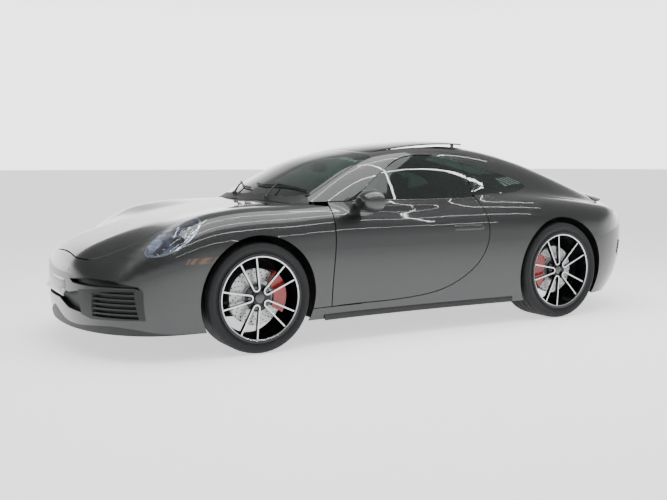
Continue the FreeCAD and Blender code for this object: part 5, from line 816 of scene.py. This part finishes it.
class COUPE_OT_seats(bpy.types.Operator):
    """Front and rear seats with stuffed and piped leather pads"""
    bl_idname = "coupe.seats"
    bl_label = "Seats"

    def execute(self, context):
        wide = context.scene.coupe_cabin.seat_width
        lean = math.radians(25.0)
        for word, sign in flanks:
            y = sign * 0.380
            base = Matrix.Translation((0.030, y, 0.345)) @ Matrix.Rotation(math.radians(-5.0), 4, "Y")
            pad = cushion("seat_pad_" + word, (0.50, wide * 0.56, 0.15), base, "body", 0.30, 0.03,
                          (-0.45, -0.05, 0.35))
            if sign > 0:
                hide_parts("front_seats")
            for k in (-1, 1):
                edge = base @ Matrix.Translation((0.0, k * wide * 0.385, 0.012))
                cushion("seat_bolster_%s_%d" % (word, k + 2), (0.49, wide * 0.20, 0.19), edge, "body",
                        0.25, 0.03)
            rest = Matrix.Translation((-0.385, y, 0.690)) @ Matrix.Rotation(-lean, 4, "Y") \
                @ Matrix.Rotation(math.radians(90.0), 4, "Y")
            cushion("seat_back_" + word, (0.52, wide * 0.52, 0.12), rest, "body", 0.30, 0.03,
                    (-0.50, -0.17, 0.17, 0.50))
            for k in (-1, 1):
                edge = rest @ Matrix.Translation((0.02, k * wide * 0.365, 0.020))
                cushion("back_bolster_%s_%d" % (word, k + 2), (0.50, wide * 0.19, 0.15), edge, "body",
                        0.25, 0.05)
            head = rest @ Matrix.Translation((-0.335, 0.0, 0.0))
            cushion("head_rest_" + word, (0.17, wide * 0.50, 0.10), head, "body", 0.30, 0.10)
            shell = rest @ Matrix.Translation((-0.040, 0.0, -0.070))
            points, faces = [], []
            rows, columns = 16, 12
            for j in range(rows + 1):
                for i in range(columns + 1):
                    u, v = 2.0 * j / rows - 1.0, 2.0 * i / columns - 1.0
                    points.append(shell @ Vector((u * 0.36, v * wide * (0.47 - 0.06 * u * u),
                            0.030 * (v ** 4 + u ** 4) - 0.012)))
            for j in range(rows):
                for i in range(columns):
                    k = j * (columns + 1) + i
                    faces.append((k, k + columns + 1, k + columns + 2, k + 1))
            back = add_piece("seat_shell_" + word, points, faces, "gloss", "body")
            thick = back.modifiers.new("wall", "SOLIDIFY")
            thick.thickness = 0.008
            rear = Matrix.Translation((-0.560, sign * 0.385, 0.375)) @ Matrix.Rotation(math.radians(-6.0),
                    4, "Y")
            bench = cushion("rear_pad_" + word, (0.30, 0.44, 0.11), rear, "body", 0.35, 0.04, (-0.3, 0.3))
            if sign > 0:
                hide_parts("rear_seat")
            tall = Matrix.Translation((-0.755, sign * 0.385, 0.590)) @ Matrix.Rotation(math.radians(70.0),
                    4, "Y")
            cushion("rear_back_" + word, (0.36, 0.44, 0.09), tall, "body", 0.35, 0.04, (-0.3, 0.3))
        return {"FINISHED"}


class COUPE_OT_cabin(bpy.types.Operator):
    """Dials, screen, vents, console, door rests, steering wheel boss and interior mirror"""
    bl_idname = "coupe.cabin"
    bl_label = "Cabin"

    def execute(self, context):
        dial = [(0.046, -0.020), (0.046, 0.0), (0.044, 0.003), (0.0425, 0.0), (0.0420, -0.006), (0.0001,
                -0.006)]
        for i, y in enumerate((0.20, 0.29, 0.38, 0.47, 0.56)):
            grow = 1.12 if i == 2 else 0.92
            turned("dial_%d" % (i + 1), [(r * grow, o) for r, o in dial], Vector((0.545, y, 0.885)),
                   Vector((-1, 0, 0.25)), "display", "body", 36)
            ring = [(0.047 * grow, 0.0), (0.048 * grow, 0.004), (0.0465 * grow, 0.0055), (0.0450 * grow,
                    0.004)]
            turned("dial_ring_%d" % (i + 1), ring, Vector((0.545, y, 0.885)), Vector((-1, 0, 0.25)),
                   "steel", "body",
                   36)
        hood = [Vector((0.560 - 0.03 * math.sin(math.pi * i / 16), 0.12 + 0.52 * i / 16,
                        0.885 + 0.072 * math.sin(math.pi * i / 16) ** 0.5)) for i in range(17)]
        rod("dial_hood", hood, 0.011, "skin", "body", sides=10)
        dash = skin_of(["dashboard"])
        laid_pad("centre_display", dash, Vector((0.50, 0.0, 0.800)), left, up, ahead, 0.135, 0.055, 0.010,
                 0.12,
                 "display", "body", 16, 8)
        for i, y in enumerate((-0.56, -0.16, 0.16, 0.56)):
            laid_pad("air_vent_%d" % (i + 1), dash, Vector((0.50, y, 0.752)), left, up, ahead, 0.050,
                     0.020, 0.008,
                     0.25, "gloss", "body", 12, 6)
        console, faces = [], []
        rows = 20
        for j in range(rows + 1):
            x = 0.50 - 0.86 * j / rows
            top = 0.485 + 0.10 * math.exp(-((x - 0.48) / 0.12) ** 2) + 0.02 * math.sin(3.0 * x)
            for y, z in ((-0.115, 0.385), (-0.120, top - 0.030), (-0.100, top), (0.0, top + 0.006), (0.100,
                    top), (0.120, top - 0.030), (0.115, 0.385)):
                console.append(Vector((x, y, z)))
        for j in range(rows):
            for k in range(6):
                faces.append((j * 7 + k, j * 7 + k + 1, j * 7 + k + 8, j * 7 + k + 7))
        add_piece("console", console, faces, "skin", "body", 35.0)
        rest = Matrix.Translation((-0.20, 0.0, 0.520))
        cushion("arm_rest", (0.30, 0.20, 0.060), rest, "body", 0.30, 0.05)
        knob = [(0.017, -0.055), (0.019, -0.035), (0.024, -0.012), (0.025, 0.004), (0.021, 0.016), (0.010,
                0.022),
                (0.0001, 0.023)]
        turned("gear_selector", knob, Vector((0.22, 0.0, 0.570)), Vector((0.1, 0, 1)), "gloss", "body", 28)
        boss = [(0.066, -0.004), (0.068, 0.006), (0.062, 0.016), (0.040, 0.023), (0.0001, 0.026)]
        wheel = Vector((0.3466, 0.380, 0.760))
        lean = Vector((-0.927184, 0.0, 0.374607))
        turned("wheel_boss", boss, wheel, lean, "leather", "steering_wheel", 40)
        turned("wheel_boss_ring", [(0.026, 0.024), (0.028, 0.0265), (0.030, 0.0225)], wheel, lean, "steel",
               "steering_wheel", 32)
        for word, sign in flanks:
            pad = Matrix.Translation((0.02, sign * 0.735,
                    0.665)) @ Matrix.Rotation(math.radians(-sign * 6.0), 4, "X")
            cushion("door_rest_" + word, (0.52, 0.060, 0.070), pad, "door_" + word, 0.20, 0.08)
            pull = [Vector((0.16 - 0.30 * i / 12, sign * (0.715 - 0.016 * math.sin(math.pi * i / 12)),
                            0.745 + 0.015 * i / 12)) for i in range(13)]
            rod("door_pull_" + word, pull, 0.010, "steel", "door_" + word, sides=10)
        ring = []
        for j in range(9):
            for i in range(17):
                u, v = 2.0 * i / 16 - 1.0, 2.0 * j / 8 - 1.0
                k = math.sqrt(1.0 - 0.6 * v * v / 2.0)
                ring.append(Vector((0.345 + 0.018 * (1 - u ** 8) * (1 - v ** 8), 0.118 * u * k,
                                    1.118 + 0.034 * v * math.sqrt(1.0 - 0.6 * u * u / 2.0))))
        faces = [(j * 17 + i, j * 17 + i + 1, (j + 1) * 17 + i + 1, (j + 1) * 17 + i)
                 for j in range(8) for i in range(16)]
        inner = add_piece("interior_mirror", ring, faces, "gloss", "body")
        wall = inner.modifiers.new("wall", "SOLIDIFY")
        wall.thickness = 0.006
        stalk = [Vector((0.360, 0.0, 1.130)), Vector((0.366, 0.0, 1.150)), Vector((0.372, 0.0, 1.165))]
        rod("mirror_stalk", stalk, 0.008, "gloss", "body", sides=10)
        return {"FINISHED"}


class COUPE_OT_studio(bpy.types.Operator):
    """Pale floor, soft light strips and the camera"""
    bl_idname = "coupe.studio"
    bl_label = "Studio"

    def execute(self, context):
        scene = context.scene
        half = 200.0
        points = [(-half, -half, 0.0), (half, -half, 0.0), (half, half, 0.0), (-half, half, 0.0)]
        mesh = bpy.data.meshes.new("studio_floor")
        mesh.from_pydata(points, [], [(0, 1, 2, 3)])
        floor = bpy.data.objects.new("studio_floor", mesh)
        scene.collection.objects.link(floor)
        # Painted studio floor: plain, pale and matt.
        mesh.materials.append(plain_finish("Studio floor, painted", "#f6f6f6", "#fbfbfb", 0.5, 0.75, 0.05,
                0.02,
                Emission_Color=linear("#ffffff"), Emission_Strength=1.0))
        world = bpy.data.worlds.new("Studio")
        world.use_nodes = True
        # Studio walls: a white backdrop behind the car up to the height of a door, and a dim grey ceiling and
        # front, so that paint stays dark.
        coords = add_node(world, "TexCoord")
        parts = add_node(world, "SeparateXYZ", [(coords, "Generated", "Vector")])
        low = add_node(world, "MapRange", [(parts, "Z", "Value")], From_Min=0.17, From_Max=0.40,
                       To_Min=1.0, To_Max=0.0)
        side = add_node(world, "VectorMath", [(coords, "Generated", 0)], operation="DOT_PRODUCT")
        side.inputs[1].default_value = (-0.52, -0.85, 0.0)
        behind = add_node(world, "MapRange", [(side, "Value", "Value")], From_Min=-0.1, From_Max=0.6,
                          To_Min=0.30, To_Max=1.0)
        both = add_node(world, "MULTIPLY", [(low, "Result", 0), (behind, "Result", 1)])
        glow = add_node(world, "MapRange", [(both, 0, "Value")], To_Min=scene.coupe_look.sky * 0.12,
                        To_Max=scene.coupe_look.sky)
        world.node_tree.links.new(glow.outputs["Result"],
                world.node_tree.nodes["Background"].inputs["Strength"])
        world.node_tree.nodes["Background"].inputs["Color"].default_value = linear("#ffffff")
        scene.world = world
        for name, place, turn, wide, deep, energy in (
                ("strip_1", (0.0, 0.4, 3.4), (0.0, 0.0, 0.0), 7.0, 0.030, 22.0),
                ("strip_2", (0.0, 1.6, 3.3), (math.radians(-20.0), 0.0, 0.0), 7.0, 0.030, 22.0),
                ("strip_3", (0.0, 2.9, 3.1), (math.radians(-38.0), 0.0, 0.0), 7.0, 0.030, 22.0),
                ("strip_4", (0.0, 4.3, 2.6), (math.radians(-58.0), 0.0, 0.0), 6.5, 0.022, 14.0),
                ("strip_5", (2.4, 1.6, 3.3), (0.0, 0.0, math.radians(62.0)), 5.0, 0.030, 16.0),
                ("strip_6", (-1.6, 2.2, 3.2), (math.radians(-20.0), 0.0, math.radians(-58.0)), 5.0, 0.030,
                 16.0),
                ("soft_top", (0.0, 0.8, 5.5), (0.0, 0.0, 0.0), 6.0, 5.0, 260.0)):
            lamp = bpy.data.lights.new(name, "AREA")
            lamp.shape = "RECTANGLE"
            lamp.size, lamp.size_y = wide, deep
            lamp.energy = energy
            light = bpy.data.objects.new(name, lamp)
            light.location = place
            light.rotation_euler = Euler(turn)
            scene.collection.objects.link(light)
        camera = bpy.data.cameras.new("camera")
        camera.sensor_width = sensor_mm
        camera.lens = lens_mm
        view = bpy.data.objects.new("camera", camera)
        view.location = camera_place
        view.rotation_euler = Euler((math.radians(90.0 - camera_dip), 0.0,
                math.radians(camera_heading - 90.0)))
        scene.collection.objects.link(view)
        scene.camera = view
        return {"FINISHED"}


steps = (COUPE_OT_finishes, COUPE_OT_tyres, COUPE_OT_wheel_parts, COUPE_OT_lamps, COUPE_OT_trims,
         COUPE_OT_seats,
         COUPE_OT_cabin, COUPE_OT_studio)


class COUPE_PT_panel(bpy.types.Panel):
    """Lists the car's settings and steps"""
    bl_idname = "COUPE_PT_panel"
    bl_label = "Coupe"
    bl_space_type = "VIEW_3D"
    bl_region_type = "UI"
    bl_category = "Coupe"

    def draw(self, context):
        for group in (context.scene.coupe_look, context.scene.coupe_wheels, context.scene.coupe_cabin):
            for key in group.__annotations__:
                self.layout.prop(group, key)
        for step in steps:
            self.layout.operator(step.bl_idname)


groups = (CoupeLook, CoupeWheels, CoupeCabin)
classes = groups + steps + (COUPE_PT_panel,)


def register():
    for item in classes:
        bpy.utils.register_class(item)
    bpy.types.Scene.coupe_look = bpy.props.PointerProperty(type=CoupeLook)
    bpy.types.Scene.coupe_wheels = bpy.props.PointerProperty(type=CoupeWheels)
    bpy.types.Scene.coupe_cabin = bpy.props.PointerProperty(type=CoupeCabin)


def unregister():
    del bpy.types.Scene.coupe_cabin
    del bpy.types.Scene.coupe_wheels
    del bpy.types.Scene.coupe_look
    for item in reversed(classes):
        bpy.utils.unregister_class(item)


def main():
    register()
    bpy.ops.coupe.finishes()
    bpy.ops.coupe.tyres()
    bpy.ops.coupe.wheel_parts()
    bpy.ops.coupe.lamps()
    bpy.ops.coupe.trims()
    bpy.ops.coupe.seats()
    bpy.ops.coupe.cabin()
    bpy.ops.coupe.studio()


if __name__ == "__main__":
    main()
